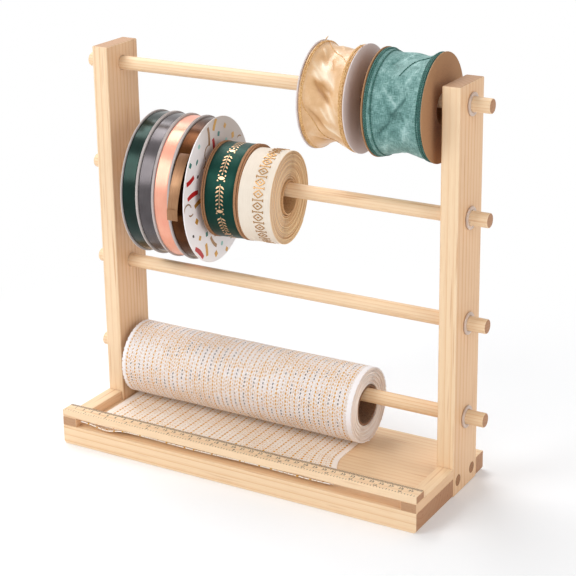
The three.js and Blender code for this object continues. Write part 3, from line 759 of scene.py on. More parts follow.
cards["printed_card"] = printedBoard()
for name, spec in reelSpecs.items():
    load, thick = loads[name], cardSpec["thick"]
    right = load["left"] + load["width"]
    for side, x0 in (("left", load["left"]), ("right", right - thick)):
        node = f"{name}_{side}_card"
        printed = node == "brown_right_card"
        slot = "printed_card" if printed else spec["slot"]
        radius = printedRadius if printed else spec["card"]
        piece = disc(f"{node}_punched", load, x0, x0 + thick, spec["bore"], radius, cardSpec)
        settle(piece, node, f"{name}_reel", cards[slot])
    outer = spec["bore"] + cardSpec["coreWall"]
    core = rolledCore(name, load, load["left"] + thick, right - thick, spec["bore"], outer, cardSpec)
    settle(core, f"{name}_core", f"{name}_reel", kraft)

satins = {
    "green": {"dark": "#041C16", "light": "#082B24", "rough": 0.22, "gloss": 0.45, "lustre": 0.6},
    "grey": {"dark": "#494446", "light": "#5C5759", "rough": 0.24, "gloss": 0.4, "lustre": 0.65},
    "peach": {"dark": "#E99A82", "light": "#F1AF93", "rough": 0.28, "gloss": 0.5, "lustre": 0.3},
    "brown": {"dark": "#381C0A", "light": "#573215", "rough": 0.26, "gloss": 0.08, "lustre": 0.75},
}
bandSpec = {"belowRim": 1.5, "sides": 288, "columns": 15, "wave": 0.07, "edgeDrop": 0.25, "selvedge": 0.12}


def levelBand(name, load, x0, x1, inner, outer, spec, seed):
    # The outside falls off at the very edges, carries a thin raised selvedge, and waves slightly:
    # r = R - s + s exp(-((|u| - 0.86) / 0.05)^2) - d|u|^16 + (1 - |u|^8) times the waves
    # w sin(3a + p) cos(2u + 2p) + w/2 sin(7a + 5p), with the seed for p
    angle = np.linspace(0, fullTurn, spec["sides"] + 1)[:, None]
    u = np.linspace(1, -1, spec["columns"])[None, :]
    rise = spec["selvedge"] * np.exp(-(((np.abs(u) - 0.86) / 0.05) ** 2)) - spec["edgeDrop"] * np.abs(u) ** 16
    wave = spec["wave"] * np.sin(3 * angle + seed) * np.cos(2 * u + 2 * seed)
    wave = wave + 0.5 * spec["wave"] * np.sin(7 * angle + 5 * seed)
    top = outer - spec["selvedge"] + rise + wave * (1 - np.abs(u) ** 8)
    return ribbonRing(name, angle, (x0 + x1) / 2 + (x1 - x0) / 2 * u, top, inner, load)


def looseTail(spec):
    # The ribbon's end leaves the winding, rises over the rim and drifts aside; its right edge lifts and
    # both edges curl up as it goes, and the last few millimetres are folded back on top
    load = loads["brown"]
    pieces = []
    parts = (
        ("tail", spec["start"], spec["end"], 0),
        ("tail_fold", spec["foldStart"], spec["end"] + spec["foldPast"], spec["foldLift"]),
    )
    for name, start, end, lift in parts:
        share = np.linspace(0, 1, spec["steps"])[:, None]
        degrees = start + (end - start) * share
        gone = (degrees - spec["start"]) / (spec["end"] - spec["start"])
        radius = spec["from"] + (spec["to"] - spec["from"]) * np.clip(gone / spec["rise"], 0, 1) ** 0.8 + lift
        ease = np.clip((gone - 0.4) / 0.6, 0, 1)
        middle = load["left"] + spec["place"] - spec["drift"] * ease ** 2 * (3 - 2 * ease)
        section = roundedSection(-spec["width"] / 2, spec["width"] / 2, 0, spec["thick"], 0.2, 2)
        side = section[None, :, 0]
        dish = spec["twist"] * side / spec["width"] * gone + spec["curl"] * side ** 2 * gone
        rise = radius + dish + section[None, :, 1]
        # Where the mark is 0, at the tail's start, the tail is painted in shade; the shade fades over the
        # first part of its length
        turn = {"turn": np.clip(gone / spec["shadeFades"], 0, 1)}
        angle = np.radians(degrees)
        pieces.append(wound(f"brown_ribbon_{name}", angle, middle + side, rise, load, turn, capped=True))
    return pieces


tailSpec = {
    # angles in degrees from the top; rise and the fading of the painted shade at the tail's start are shares
    # of the tail's length
    "start": 46, "end": 98, "foldStart": 90, "foldPast": 0.6, "foldLift": 0.75,
    "from": 70.1, "to": 75.3, "rise": 0.5, "place": 9.6, "drift": 3.1, "twist": 0.5, "curl": 0.012,
    "width": 11.2, "thick": 0.5, "shadeFades": 0.4, "steps": 48,
}
for seed, (name, look) in enumerate(satins.items()):
    load, spec = loads[name], reelSpecs[name]
    inset = cardSpec["thick"] + cardSpec["gap"]
    inner = spec["bore"] + cardSpec["coreWall"] + cardSpec["gap"]
    x0, x1 = load["left"] + inset, load["left"] + load["width"] - inset
    outer = spec["card"] - bandSpec["belowRim"]
    material = satin(f"{name}_satin_weave", **look)
    band = levelBand(f"{name}_ribbon_wound", load, x0, x1, inner, outer, bandSpec, seed)
    settle(band, f"{name}_ribbon", f"{name}_reel", material)
# The loose tail is the brown ribbon painted much lighter: painted light where it lifts off the winding,
# starting from painted shade
litTailSatin = satin("brown_tail_painted_light_weave", "#8C6344", "#AD8460", 0.38, 0.3, 0.35, start="#5A361A")
for piece in looseTail(tailSpec):
    settle(piece, "brown_ribbon", "brown_reel", litTailSatin)
print("reels are made")

# Scattered print on the card beside the brown ribbon

printColours = [
    flecked("print_red", "#B3141A", "#C4201F", 900, Roughness=0.45),
    flecked("print_gold", "#C58A2E", "#DDA945", 1200, Metallic=0.3, Roughness=0.4),
    flecked("print_teal", "#2E6F67", "#3F8A80", 900, Roughness=0.45),
    flecked("print_bronze", "#8B6238", "#B58A58", 900, Metallic=0.3, Roughness=0.4),
    flecked("print_dark", "#3A3431", "#5B4F49", 900, Roughness=0.5),
    flecked("print_mint", "#8FC6BE", "#A9D8CF", 900, Roughness=0.5),
]


def scatteredPrint(load, radius):
    # Party streamers, blocks and dots at even steps of the golden angle, 137.5 degrees, at radii that
    # grow with the square root of their number, so that they spread evenly; their kinds take turns.
    # A kind is its length, width, bend in degrees, taper and colour
    face = load["left"] + load["width"]
    kinds = [
        (23, 5.0, 25, 0.25, 0), (6.0, 5.2, 0, 0, 1), (5.0, 4.4, 0, 0.1, 2), (22, 1.3, 150, 0.3, 3),
        (4.4, 3.0, 0, 0.9, 4), (14, 4.4, 20, 0, 1), (4.6, 4.0, 0, 0.4, 5), (17, 4.6, -25, 0, 0),
        (10, 1.5, -80, 0.6, 3), (4.6, 4.6, 0, 0, 1), (19, 3.6, -35, 0, 3), (6.6, 3.2, 10, 0.9, 2),
    ]
    shapes = []
    count = 52
    for k in range(count):
        spread = math.sqrt((k + 0.5) / count)
        out = 22 + (radius - 25.5) * spread
        angle = math.radians(137.508 * k + 20)
        length, width, bend, taper, colour = kinds[(k * 7) % len(kinds)]
        out = min(out, radius - 1.2 - 0.5 * width)
        heading = math.degrees(angle) + 90 + 37 * math.sin(5.1 * k)
        place = (out * math.sin(angle), out * math.cos(angle), heading)
        shapes.append((*place, length * 0.95, width, bend, taper, colour))

    def onFace(u, v, height):
        # Any part of a shape that would pass the rim or the bore is drawn in to it, and each shape lies a
        # hair above the one before
        reach = np.hypot(u, v)
        kept = np.clip(reach, 19.8, radius - 0.7) / reach
        step = 0.003 * np.arange(len(height))[:, None, None]
        return wrap(np.arctan2(u, v), face + height + step, reach * kept, load)

    return patches("brown_card_print", shapes, onFace, printColours)


settle(scatteredPrint(loads["brown"], printedRadius), None, "brown_reel", None)

# Foil-printed rolls

rollSpec = {
    # repeat is the length of one motif along the ribbon
    "bore": 16, "coreWall": 1.5, "coreEdge": 0.3, "coreSides": 80, "leftDisc": 3.7, "rightDisc": 5.3,
    "discRadius": 47.75, "discSides": 144, "groove": 2.2, "gap": 0.3, "radius": 47.25, "seed": 7,
    "repeat": 34,
}
creamSpec = {
    "radius": 46.25, "inner": 17.75, "turns": 26, "steps": 120, "end": 225, "layer": 0.78, "dish": 1.6,
    "repeat": 11.6, "motifAside": 4,
}
greenLoad, creamLoad = loads["green_foil"], loads["cream_foil"]


def twoPlyDisc(name, x0, thickness):
    # Two brown boards pressed together: their rims meet in a narrow groove, which is cut into the
    # rounded section after its first quarter circle
    middle, r0, r1 = x0 + thickness * 0.6, rollSpec["bore"], rollSpec["discRadius"]
    ply = roundedSection(x0, x0 + thickness, r0, r1, 0.5)
    foot = r1 - rollSpec["groove"]
    groove = np.array([(middle + 0.45, r1), (middle + 0.2, foot), (middle - 0.2, foot), (middle - 0.45, r1)])
    section = np.concatenate([ply[:4], groove, ply[4:]])
    return turned(name, section, greenLoad, rollSpec["discSides"], {"rim": np.zeros((1, 1))})


greenLeft = greenLoad["left"] + rollSpec["leftDisc"] + rollSpec["gap"]
greenRight = greenLoad["left"] + greenLoad["width"] - rollSpec["rightDisc"] - rollSpec["gap"]
coreOuter = rollSpec["bore"] + rollSpec["coreWall"]
for side, x0 in (("left", greenLoad["left"]), ("right", greenRight + rollSpec["gap"])):
    board = twoPlyDisc(f"green_foil_{side}_disc_cut", x0, rollSpec[f"{side}Disc"])
    settle(board, f"green_foil_{side}_disc", "green_foil_roll", kraft)
creamEnd = creamLoad["left"] + creamLoad["width"]
paleBoard = cardboard("pale_core_board", "#B98C5F", "#D8B082", "#CFA678")
for name, load, x0, x1, board in (
    ("green_foil", greenLoad, greenLeft, greenRight, kraft),
    ("cream_foil", creamLoad, creamLoad["left"], creamEnd, paleBoard),
):
    core = rolledCore(name, load, x0, x1, rollSpec["bore"], coreOuter, rollSpec)
    settle(core, f"{name}_core", f"{name}_roll", board)
greenFoilSatin = satin("green_foil_weave", "#092F28", "#103E34", 0.4, 0.15, 0.5)
inner, outer, seed = coreOuter + rollSpec["gap"], rollSpec["radius"], rollSpec["seed"]
band = levelBand("green_foil_ribbon_wound", greenLoad, greenLeft, greenRight, inner, outer, bandSpec, seed)
settle(band, "green_foil_ribbon", "green_foil_roll", greenFoilSatin)


def creamSatin():
    # Cream outside; the cut edges of the layers, marked on the mesh, are tan
    material, tree, shader = newMaterial("cream_foil_weave", Roughness=0.5, Specular_IOR_Level=0.3)
    vector, _, _ = clothPlace(tree)
    threads = noise(tree, vector, 2.0, 2, stretch=(0.03, 1, 1))
    outside = ramp(tree, threads, [(0.3, "#E1D4C3"), (0.7, "#E9DECF")])
    edges = ramp(tree, noise(tree, mark(tree, "wind"), 0.8, 2), [(0.36, "#C98E53"), (0.62, "#FFDFAF")])
    paint(tree, shader, blend(tree, mark(tree, "edge"), outside, edges), threads, 0.02)
    return material


def creamSpiral(spec):
    # The radius grows evenly with the turns; both sides are dished towards the core by d (1 - s)^2,
    # and each layer but the last strays a little aside by two slow sines of the turns wound
    turns = spec["turns"]
    wind = np.linspace(0, turns, turns * spec["steps"] + 1)[:, None]
    angle = math.radians(spec["end"]) - (turns - wind) * fullTurn
    radius = spec["inner"] + (spec["radius"] - spec["layer"] - spec["inner"]) * wind / turns
    share = wind / turns
    dish = spec["dish"] * (1 - share) ** 2
    stray = 0.22 * np.sin(2.4 * wind) + 0.15 * np.sin(5.3 * wind + 1)
    x0 = creamLoad["left"] + 0.4 + dish + stray * (share < 0.97)
    x1 = creamLoad["left"] + creamLoad["width"] - 0.4 - dish + stray * (share < 0.97)
    edge = np.array([0, 0, 1, 1, 1, 1, 1, 1, 0])
    marks = {"edge": edge[None, :], "wind": wind}
    return woundStrip("cream_foil_ribbon_wound", angle, x0, x1, radius, spec["layer"], creamLoad, marks)


settle(creamSpiral(creamSpec), "cream_foil_ribbon", "cream_foil_roll", creamSatin())


def onRoll(load, middle, radius):
    # Places on a roll's outside: u runs round it and v along its axis, both in millimetres
    return lambda u, v, height: wrap(u / radius, middle + v, radius + height, load)


def sprigMotif(radius, repeat):
    # A stem with pairs of leaves, then a lozenge between two dots, repeated evenly round the roll
    count = round(fullTurn * radius / repeat)
    pitch = fullTurn * radius / count
    shapes = []
    for k in range(count):
        start = k * pitch
        shapes.append((start, 0, 0, 0.62 * pitch, 0.45, 0, 0, 0))
        for pair in range(5):
            s = start - 0.26 * pitch + pair * 0.125 * pitch
            for side in (-1, 1):
                shapes.append((s + 1.3, side * 2.6, side * 52, 5.0 - 0.35 * pair, 1.5, side * -30, 0.95, 0))
        shapes.append((start + 0.37 * pitch, 0, 0, 2.4, 1.3, 0, 0.95, 0))
        shapes.append((start + 0.5 * pitch, 0, 90, 7.6, 3.4, 0, 0.98, 0))
        for side in (-1, 1):
            shapes.append((start + 0.5 * pitch + side * 2.6, side * 3.6, 45, 1.4, 1.4, 0, 0.2, 0))
            shapes.append((start + 0.5 * pitch - side * 2.6, side * 3.6, 45, 1.4, 1.4, 0, 0.2, 0))
    return shapes


def latticeMotif(radius, repeat):
    # Lozenges drawn in outline by four strokes, with a bar and a dot between neighbours
    count = round(fullTurn * radius / repeat)
    pitch = fullTurn * radius / count
    shapes = []
    for k in range(count):
        s = k * pitch
        for a in (-1, 1):
            for b in (-1, 1):
                shapes.append((s + a * 1.9, b * 2.5, -a * b * 53, 6.0, 0.95, 0, 0.3, 0))
        shapes.append((s, 0, 90, 3.0, 1.6, 0, 0.95, 0))
        shapes.append((s + 0.5 * pitch, 0, 90, 8.6, 0.8, 0, 0, 0))
        for b in (-1, 1):
            shapes.append((s + 0.5 * pitch, b * 5.2, 0, 2.6, 0.8, 0, 0, 0))
    return shapes


greenFoil = foil("rose_gold_foil", "#C69A74", "#E2BD98")
creamFoil = foil("dark_gold_foil", "#96693A", "#C49A63")
sprigs = sprigMotif(rollSpec["radius"], rollSpec["repeat"])
onGreen = onRoll(greenLoad, greenLoad["middle"], rollSpec["radius"])
greenMotif = patches("green_foil_motif", sprigs, onGreen, [greenFoil], rise=0.1)
settle(greenMotif, None, "green_foil_roll", None)
lattice = latticeMotif(creamSpec["radius"], creamSpec["repeat"])
onCream = onRoll(creamLoad, creamLoad["middle"] + creamSpec["motifAside"], creamSpec["radius"])
creamMotif = patches("cream_foil_motif", lattice, onCream, [creamFoil], rise=0.1, sink=0.5)
settle(creamMotif, None, "cream_foil_roll", None)
print("printed card and foil rolls are made")

# Wide wired ribbons

wiredSpecs = {
    # cords are places across the ribbon, from its left edge or, below zero, from its right one; a named
    # fold is its angle, place across, heading, length, width and height; slants are wired edges that run
    # aslant, by points of angle and place across; angles are in degrees
    "gold": {
        "waist": 5, "crease": 1.3, "seed": 5, "heading": (18, 46), "folds": 30, "height": (0.35, 1.0),
        "cord": 0.62, "cords": [1.7, 3.3, -1.5, -3.0, -4.6],
        "named": [
            (73, 20.5, 34, 27, 1.5, -1.7), (46, 20.0, 32, 26, 2.8, 1.3), (58, 27.0, 30, 22, 1.6, 1.0),
            (97, 30.0, 26, 22, 2.2, 0.9), (28, 15.0, 30, 20, 1.8, -0.9),
        ],
        "slants": [
            [(66, 3.2), (80, 3.6), (92, 5.5), (105, 11), (124, 16.5), (138, 22.5), (160, 33), (182, 44)],
            [(-24, 1.0), (-14, 2.2), (3, 12), (19, 26.5), (37, 40), (48, 44.5)],
        ],
    },
    "teal": {
        "waist": 3.2, "crease": 1.1, "seed": 11, "heading": (-46, -12), "folds": 38, "height": (0.25, 0.8),
        "cord": 0.75, "cords": [1.3, 3.0, 7.0, -1.4, -3.2, -5.0],
        "named": [
            (82, 31.0, -34, 26, 1.8, -1.3), (104, 20.0, -40, 28, 2.2, -1.2), (70, 24.0, 38, 24, 1.6, 0.9),
            (95, 38.0, 30, 20, 1.6, -0.8),
        ],
        "slants": [[(44, 27.5), (34.6, 31), (21.7, 36.5), (6.7, 54)]],
    },
}
wiredRest = {"belowRim": 1.6, "edgeWidth": 4, "edgeStep": 0.8, "sides": 432, "columns": 96, "inset": 1.5}


def wiredSurface(name):
    # Stiff edges stand proud of a slack middle. The middle sinks by the waist, swells by two leaning waves
    # sin(5a + 7u) + 0.6 sin(3a - 9u), and each fold adds h exp(-(sqrt(d^2 + 0.4^2) - 0.4) / w) where d is
    # the distance from its line and its ends fade out; a fold with h below zero is a crease
    spec, load = wiredSpecs[name], loads[name]
    span = load["width"] - 2 * wiredRest["inset"]
    edgeRadius = reelSpecs[name]["card"] - wiredRest["belowRim"]
    share = wiredRest["edgeWidth"] / span
    chance = np.random.RandomState(spec["seed"])
    folds = list(spec["named"])
    for k in range(spec["folds"]):
        place = 360 * k / spec["folds"] + chance.uniform(-5, 5)
        x = chance.uniform(0.2, 0.8) * span
        height = chance.uniform(*spec["height"]) * (1 if k % 3 else -1)
        heading, length = chance.uniform(*spec["heading"]), chance.uniform(16, 32)
        folds.append((place, x, heading, length, chance.uniform(1.0, 2.2), height))

    def radiusAt(angle, x):
        u = np.clip(x / span, 0, 1)
        fromEdge = np.minimum(u, 1 - u)
        slack = np.sin(np.clip((fromEdge - share) / (0.5 - share), 0, 1) * math.pi / 2)
        waves = np.sin(5 * angle + 7 * u) + 0.6 * np.sin(3 * angle - 9 * u)
        relief = np.zeros(np.broadcast(angle, x).shape)
        for place, middle, heading, length, width, height in folds:
            off = (angle - math.radians(place) + math.pi) % fullTurn - math.pi
            s, t, h = off * edgeRadius, x - middle, math.radians(heading)
            along = s * math.cos(h) + t * math.sin(h)
            aside = -s * math.sin(h) + t * math.cos(h)
            fade = np.exp(-((2 * along / length) ** 4))
            relief = relief + height * fade * np.exp(-(np.sqrt(aside ** 2 + 0.16) - 0.4) / width)
        gate = np.clip(slack * 2.2, 0, 1)
        middleRadius = edgeRadius - wiredRest["edgeStep"] * np.clip(slack * 6, 0, 1) - spec["waist"] * slack
        radius = middleRadius + spec["crease"] * waves * slack + relief * gate
        return np.minimum(radius, edgeRadius + 0.25), relief * gate

    return radiusAt, span


def wiredWeave(name, look, rough, gloss):
    # Colour follows the folds, marked on the mesh, as painted shade in the creases and painted highlight on
    # the
    # ridges, over a mottle that is partly painted light and shade, and fine crossing threads:
    # 0.5 + folds * relief + mottle * (slow noise - 0.5) + grain * (weave - 0.5)
    material, tree, shader = newMaterial(f"{name}_weave", Roughness=rough, Specular_IOR_Level=gloss)
    vector, _, _ = clothPlace(tree)
    mottle = noise(tree, vector, look["spots"], 4, rough=0.6)
    weave = plainWeave(tree, vector, 1.6, 0.12)
    level = sums(tree, "MULTIPLY_ADD", mark(tree, "fold"), look["folds"], 0.5)
    level = sums(tree, "MULTIPLY_ADD", sums(tree, "SUBTRACT", mottle, 0.5), look["mottle"], level)
    level = sums(tree, "MULTIPLY_ADD", sums(tree, "SUBTRACT", weave, 0.5), look["grain"], level)
    # The three tints are the cloth in painted shadow, in middle light and in painted highlight
    stops = [(0.22, look["shadow"]), (0.5, look["middle"]), (0.8, look["light"])]
    paint(tree, shader, ramp(tree, level, stops), weave, 0.12)
    return material


# shadow and light are this cloth's colour in painted shade and in painted highlight
goldLook = {
    "shadow": "#B98750", "middle": "#DDB384", "light": "#F8E3C6",
    "spots": 0.05, "mottle": 0.5, "folds": 0.3, "grain": 0.2,
}
tealLook = {
    "shadow": "#36605B", "middle": "#66928D", "light": "#A6C9C5",
    "spots": 0.1, "mottle": 0.6, "folds": 0.26, "grain": 1.3,
}
goldStitches = flecked("gold_wire_stitching", "#B9843F", "#EDC78F", 650, 0.1, Roughness=0.5)
tealStitches = flecked("teal_wire_stitching", "#12403A", "#3F776D", 650, 0.1, Roughness=0.6)
wiredLooks = {
    "gold": (wiredWeave("gold_satin", goldLook, 0.33, 0.6), goldStitches),
    "teal": (wiredWeave("teal_sheer", tealLook, 0.55, 0.4), tealStitches),
}


def stitchedCord(name, load, angle, x, radius, thick, closed=True):
    # A wire wrapped in stitches: its thickness beads along its length, 2.4 mm from bead to bead
    run = np.concatenate([[0], np.cumsum(np.abs(np.diff(angle)) * radius[:-1])])
    bead = thick * (1 + 0.3 * np.sin(run * fullTurn / 2.4))
    if not closed:
        bead = bead * np.clip(np.minimum(run, run[-1] - run) / 2.5 + 0.25, 0.25, 1)
    turn = np.linspace(0, fullTurn, 9)[None, :]
    across = x[:, None] + bead[:, None] * np.cos(turn)
    height = radius[:, None] + bead[:, None] * np.sin(turn)
    return wound(name, angle[:, None], across, height, load, capped=not closed)


for name, spec in wiredSpecs.items():
    load = loads[name]
    radiusAt, span = wiredSurface(name)
    start = load["left"] + wiredRest["inset"]
    angle = np.linspace(0, fullTurn, wiredRest["sides"] + 1)[:, None]
    x = np.linspace(span, 0, wiredRest["columns"])[None, :]
    top, relief = radiusAt(angle, x)
    inner = reelSpecs[name]["bore"] + cardSpec["coreWall"] + cardSpec["gap"]
    cloth, thread = wiredLooks[name]
    body, slot = f"{name}_reel", "gold_satin" if name == "gold" else "teal_sheer"
    winding = ribbonRing(f"{name}_ribbon_wound", angle, start + x, top, inner, load, relief, sharp=60)
    settle(winding, f"{name}_ribbon", body, cloth)
    ring = np.linspace(0, fullTurn, 1101)
    for k, place in enumerate(spec["cords"]):
        side = place if place > 0 else span + place
        stray = 0.35 * np.sin(2 * ring + k) + 0.2 * np.sin(5 * ring + 3 * k)
        lift = 0.15 + 0.2 * np.sin(3 * ring + 2 * k)
        onCloth, _ = radiusAt(ring, side + stray)
        across = start + side + stray
        cord = stitchedCord(f"{name}_wired_edge_{k}", load, ring, across, onCloth + lift, spec["cord"])
        settle(cord, f"{name}_ribbon", body, thread)
    for k, path in enumerate(spec["slants"]):
        points = np.array(path)[np.argsort([p[0] for p in path])]
        dense = np.linspace(points[0, 0], points[-1, 0], 500)
        side = np.interp(dense, points[:, 0], points[:, 1])
        side = np.convolve(np.pad(side, 30, mode="edge"), np.hanning(61) / np.hanning(61).sum(), "valid")
        angle, across, thick = np.radians(dense), start + side, spec["cord"] * 0.75
        height = radiusAt(angle, side)[0] + 0.2
        cord = stitchedCord(f"{name}_slanting_edge_{k}", load, angle, across, height, thick, closed=False)
        settle(cord, f"{name}_ribbon", body, thread)
tipSpec = {
    # Loose thread ends that stand up over the cards' rims: each has its angle, place across and reach
    "tips": [(-8, -0.9, -10), (2, 45.5, 12)], "foot": 49.6, "stands": 5.0, "thick": 0.55,
}
for k, (place, x, reach) in enumerate(tipSpec["tips"]):
    share = np.linspace(0, 1, 40)
    angle, thick = np.radians(place + reach * share), tipSpec["thick"]
    across = loads["gold"]["left"] + wiredRest["inset"] + x + 0 * share
    height = tipSpec["foot"] + tipSpec["stands"] * share ** 1.5
    tip = stitchedCord(f"gold_loose_tip_{k}", loads["gold"], angle, across, height, thick, closed=False)
    settle(tip, "gold_ribbon", "gold_reel", wiredLooks["gold"][1])
print("wired ribbons are made")

# Mesh roll and the mesh that lies over the tray

meshSpec = {
    # dash is a length along the cloth as wound() counts it, which the roll's ragged ends stretch by half
    "radius": 39, "inner": 20.7, "turns": 14, "layer": 1.0, "gap": 0.35, "core": (18.5, 20.5), "recess": 2,
    "coreEdge": 0.4, "coreSides": 96, "inset": 0.9, "below": 0.9, "stripe": 10.6, "firstStripe": 9.5,
    "dash": 4.6, "rows": 160, "columns": 330,
}
clothSpec = {
    "left": -178, "width": 271, "hemY": -73.7, "backY": rodLine, "floor": 20.06, "thick": 0.8,
    "underRoll": 20.5, "hem": 28.2, "lift": 15, "landing": 25, "dip": 3.6, "dipPlace": 31, "dipWidth": 15,
    "ripple": 0.9, "rippleLength": 132, "rows": 110, "columns": 270, "flareBack": -7, "flareFront": 17,
}


def meshCloth(name, look):
    # A dotted gold thread every few millimetres across, over a thin one without gaps; half way to the next a
    # row of finer gold dots with painted shade on them in places, fainter rows between these, and short gold
    # glints by noise
    material, tree, shader = newMaterial(name, Roughness=0.6, Specular_IOR_Level=0.35)
    vector, along, across = clothPlace(tree)
    stripe = meshSpec["stripe"]
    weave = plainWeave(tree, vector, 1.5, 0.25)
    speckle = noise(tree, vector, 0.75, 2, rough=0.7)
    mixed = sums(tree, "MULTIPLY_ADD", weave, 0.3, sums(tree, "MULTIPLY", speckle, 0.7))
    colour = ramp(tree, mixed, [(0.4, look["thin"]), (0.56, look["ground"])])
    row = sums(tree, "FLOOR", sums(tree, "DIVIDE", across, stripe))

    def stripes(aside, width):
        # 1 within the width round each line at this distance beside the gold threads
        start = sums(tree, "ADD", across, stripe / 2 - meshSpec["firstStripe"] - aside)
        cell = sums(tree, "FRACT", sums(tree, "DIVIDE", start, stripe))
        return sums(tree, "COMPARE", cell, 0.5, width / 2 / stripe)

    def dashes(period, share, shift):
        # Neighbouring rows start their dashes at different places
        start = sums(tree, "MULTIPLY_ADD", row, 0.37 * period, sums(tree, "ADD", along, shift))
        return sums(tree, "LESS_THAN", sums(tree, "FRACT", sums(tree, "DIVIDE", start, period)), share)

    def lay(under, share, colour, strength):
        # The marks of one kind, kept off the plain sides
        kept = sums(tree, "MULTIPLY", sums(tree, "MULTIPLY", share, inner), strength)
        return blend(tree, kept, under, tint(colour))

    inner = sums(tree, "COMPARE", across, look["width"] / 2, look["width"] / 2 - 5)
    patchy = noise(tree, vector, 0.045, 3, stretch=(1, 0.6, 1))
    banded = noise(tree, vector, 0.06, 2, stretch=(1, 0.25, 1))
    dash = meshSpec["dash"]
    goldRows = sums(tree, "MULTIPLY", stripes(0, look["wide"]), dashes(dash, 0.55, 0))
    midRows = sums(tree, "MULTIPLY", stripes(stripe / 2, 1.1), dashes(dash, 0.5, dash / 2))
    # Painted shade: the middle rows of dots turn dark in slow bands
    shadedRows = sums(tree, "MULTIPLY", midRows, ramp(tree, banded, [(0.5, 0.0), (0.53, 1.0)]))
    fineRows = sums(tree, "MAXIMUM", stripes(stripe / 4, 0.8), stripes(-stripe / 4, 0.8))
    fineRows = sums(tree, "MULTIPLY", fineRows, dashes(0.9 * dash, 0.5, 0.8))
    fineRows = sums(tree, "MULTIPLY", fineRows, ramp(tree, patchy, [(0.46, 0.0), (0.54, 1.0)]))
    fineRows = sums(tree, "MAXIMUM", midRows, fineRows)
    clusters = ramp(tree, patchy, [(0.44, 0.15), (0.56, 1.0)])
    glints = noise(tree, vector, 0.8, 1, stretch=(0.5, 1.4, 1))
    glints = sums(tree, "MULTIPLY", sums(tree, "GREATER_THAN", glints, 0.59), clusters)
    colour = blend(tree, sums(tree, "SUBTRACT", 1.0, inner), colour, tint(look["pale"]))
    colour = lay(colour, glints, look["gold"], look["glints"])
    colour = lay(colour, fineRows, look["gold"], look["fine"])
    colour = lay(colour, shadedRows, look["dark"], look["shadeShare"])
    colour = lay(colour, stripes(0, 0.6), look["gold"], 0.3)
    colour = lay(colour, goldRows, look["gold"], 1.0)
    paint(tree, shader, colour, weave, 0.12)
    return material


rollCloth = meshCloth("mesh_roll_weave", {
    "ground": "#F7F1F0", "thin": "#D6C9C3", "pale": "#F7F4F6", "gold": "#D49A00", "dark": "#2A1C14",
    "wide": 1.5, "glints": 0.55, "fine": 0.9, "shadeShare": 1.0, "width": 271,
})
laidCloth = meshCloth("mesh_laid_weave", {
    "ground": "#FFFAF4", "thin": "#F6E2CE", "pale": "#FFF6EE", "gold": "#D89C00", "dark": "#7E6650",
    "wide": 2.0, "glints": 0.4, "fine": 0.5, "shadeShare": 0.1, "width": 271,
})
endCloth, endTree, endShader = newMaterial("mesh_edge_layers", Roughness=0.75)
endPlace, _, _ = clothPlace(endTree)
endTint = ramp(endTree, noise(endTree, endPlace, 0.02, 3), [(0.35, "#F0E2D9"), (0.65, "#FFFBF8")])
paint(endTree, endShader, endTint)


def meshSpiral(spec, load):
    # Inner turns of the roll, which stay below the outer one: a strip that grows by a pitch a turn, whose
    # ends stray in and out
    turns = spec["turns"] - 1
    pitch = (spec["radius"] - spec["below"] - spec["inner"]) / spec["turns"]
    wind = np.linspace(0, turns, turns * 72 + 1)[:, None]
    angle = math.pi + (turns - wind) * fullTurn
    radius = spec["inner"] + pitch * wind
    stray = 0.5 * np.sin(2.1 * wind) + 0.35 * np.sin(6.7 * wind + 2) + 0.2 * np.sin(31 * wind)
    dish = 1.2 * (1 - wind / turns)
    inset = spec["inset"]
    x0, x1 = load["left"] + inset + stray + dish, load["left"] + load["width"] - inset + stray - dish
    return woundStrip("mesh_winding_layers", angle, x0, x1, radius, pitch - spec["gap"], load)


def meshOuterTurn(spec, load):
    # The last turn: a ribbed and slightly creased surface with ragged ends. Ribs follow the stripes,
    # 0.07 cos(2 pi x / stripe), and slow sines of angle and place make it sag unevenly
    pitch = (spec["radius"] - spec["inner"]) / spec["turns"]
    share = np.linspace(0, 1, spec["rows"] + 1)[:, None]
    angle = math.pi + (1 - share) * fullTurn
    u = np.linspace(1, 0, spec["columns"])[None, :]
    ragged = 0.5 * np.sin(97 * angle) + 0.4 * np.sin(41 * angle + 1)
    x0 = load["left"] + spec["inset"] + ragged
    x1 = load["left"] + load["width"] - spec["inset"] + 0.9 * np.roll(ragged, 5)
    x = x0 + (x1 - x0) * u
    offset = x - load["left"]
    ribs = 0.07 * np.cos(fullTurn * offset / spec["stripe"]) + 0.03 * np.cos(fullTurn * offset / 3.1)
    sag = 0.12 * np.sin(2 * angle + 0.02 * x) + 0.1 * np.sin(5 * angle - 0.05 * x)
    sag = sag + 0.08 * np.sin(0.09 * x + 3 * angle)
    base = spec["radius"] - pitch + pitch * share
    outer = np.minimum(base + ribs + sag - 0.3, spec["radius"] + 0.1)
    inner = base - spec["layer"] + 0 * x
    radius = np.concatenate([outer, inner[:, ::-1], outer[:, :1]], 1)
    across = np.concatenate([x, x[:, ::-1], x[:, :1]], 1)
    return wound("mesh_winding_outer_turn", angle, across, radius, load, capped=True, sharp=60)


meshLoad, recess = loads["mesh"], meshSpec["recess"]
x0, x1 = meshLoad["left"] + recess, meshLoad["left"] + meshLoad["width"] - recess
core = rolledCore("mesh", meshLoad, x0, x1, *meshSpec["core"], meshSpec)
coreBoard = cardboard("mesh_core_board", "#6E4F38", "#96735A", "#8A6A50")
settle(core, "mesh_core", "mesh_roll", coreBoard)
settle(meshSpiral(meshSpec, meshLoad), "mesh_winding", "mesh_roll", endCloth)
settle(meshOuterTurn(meshSpec, meshLoad), "mesh_winding", "mesh_roll", rollCloth)


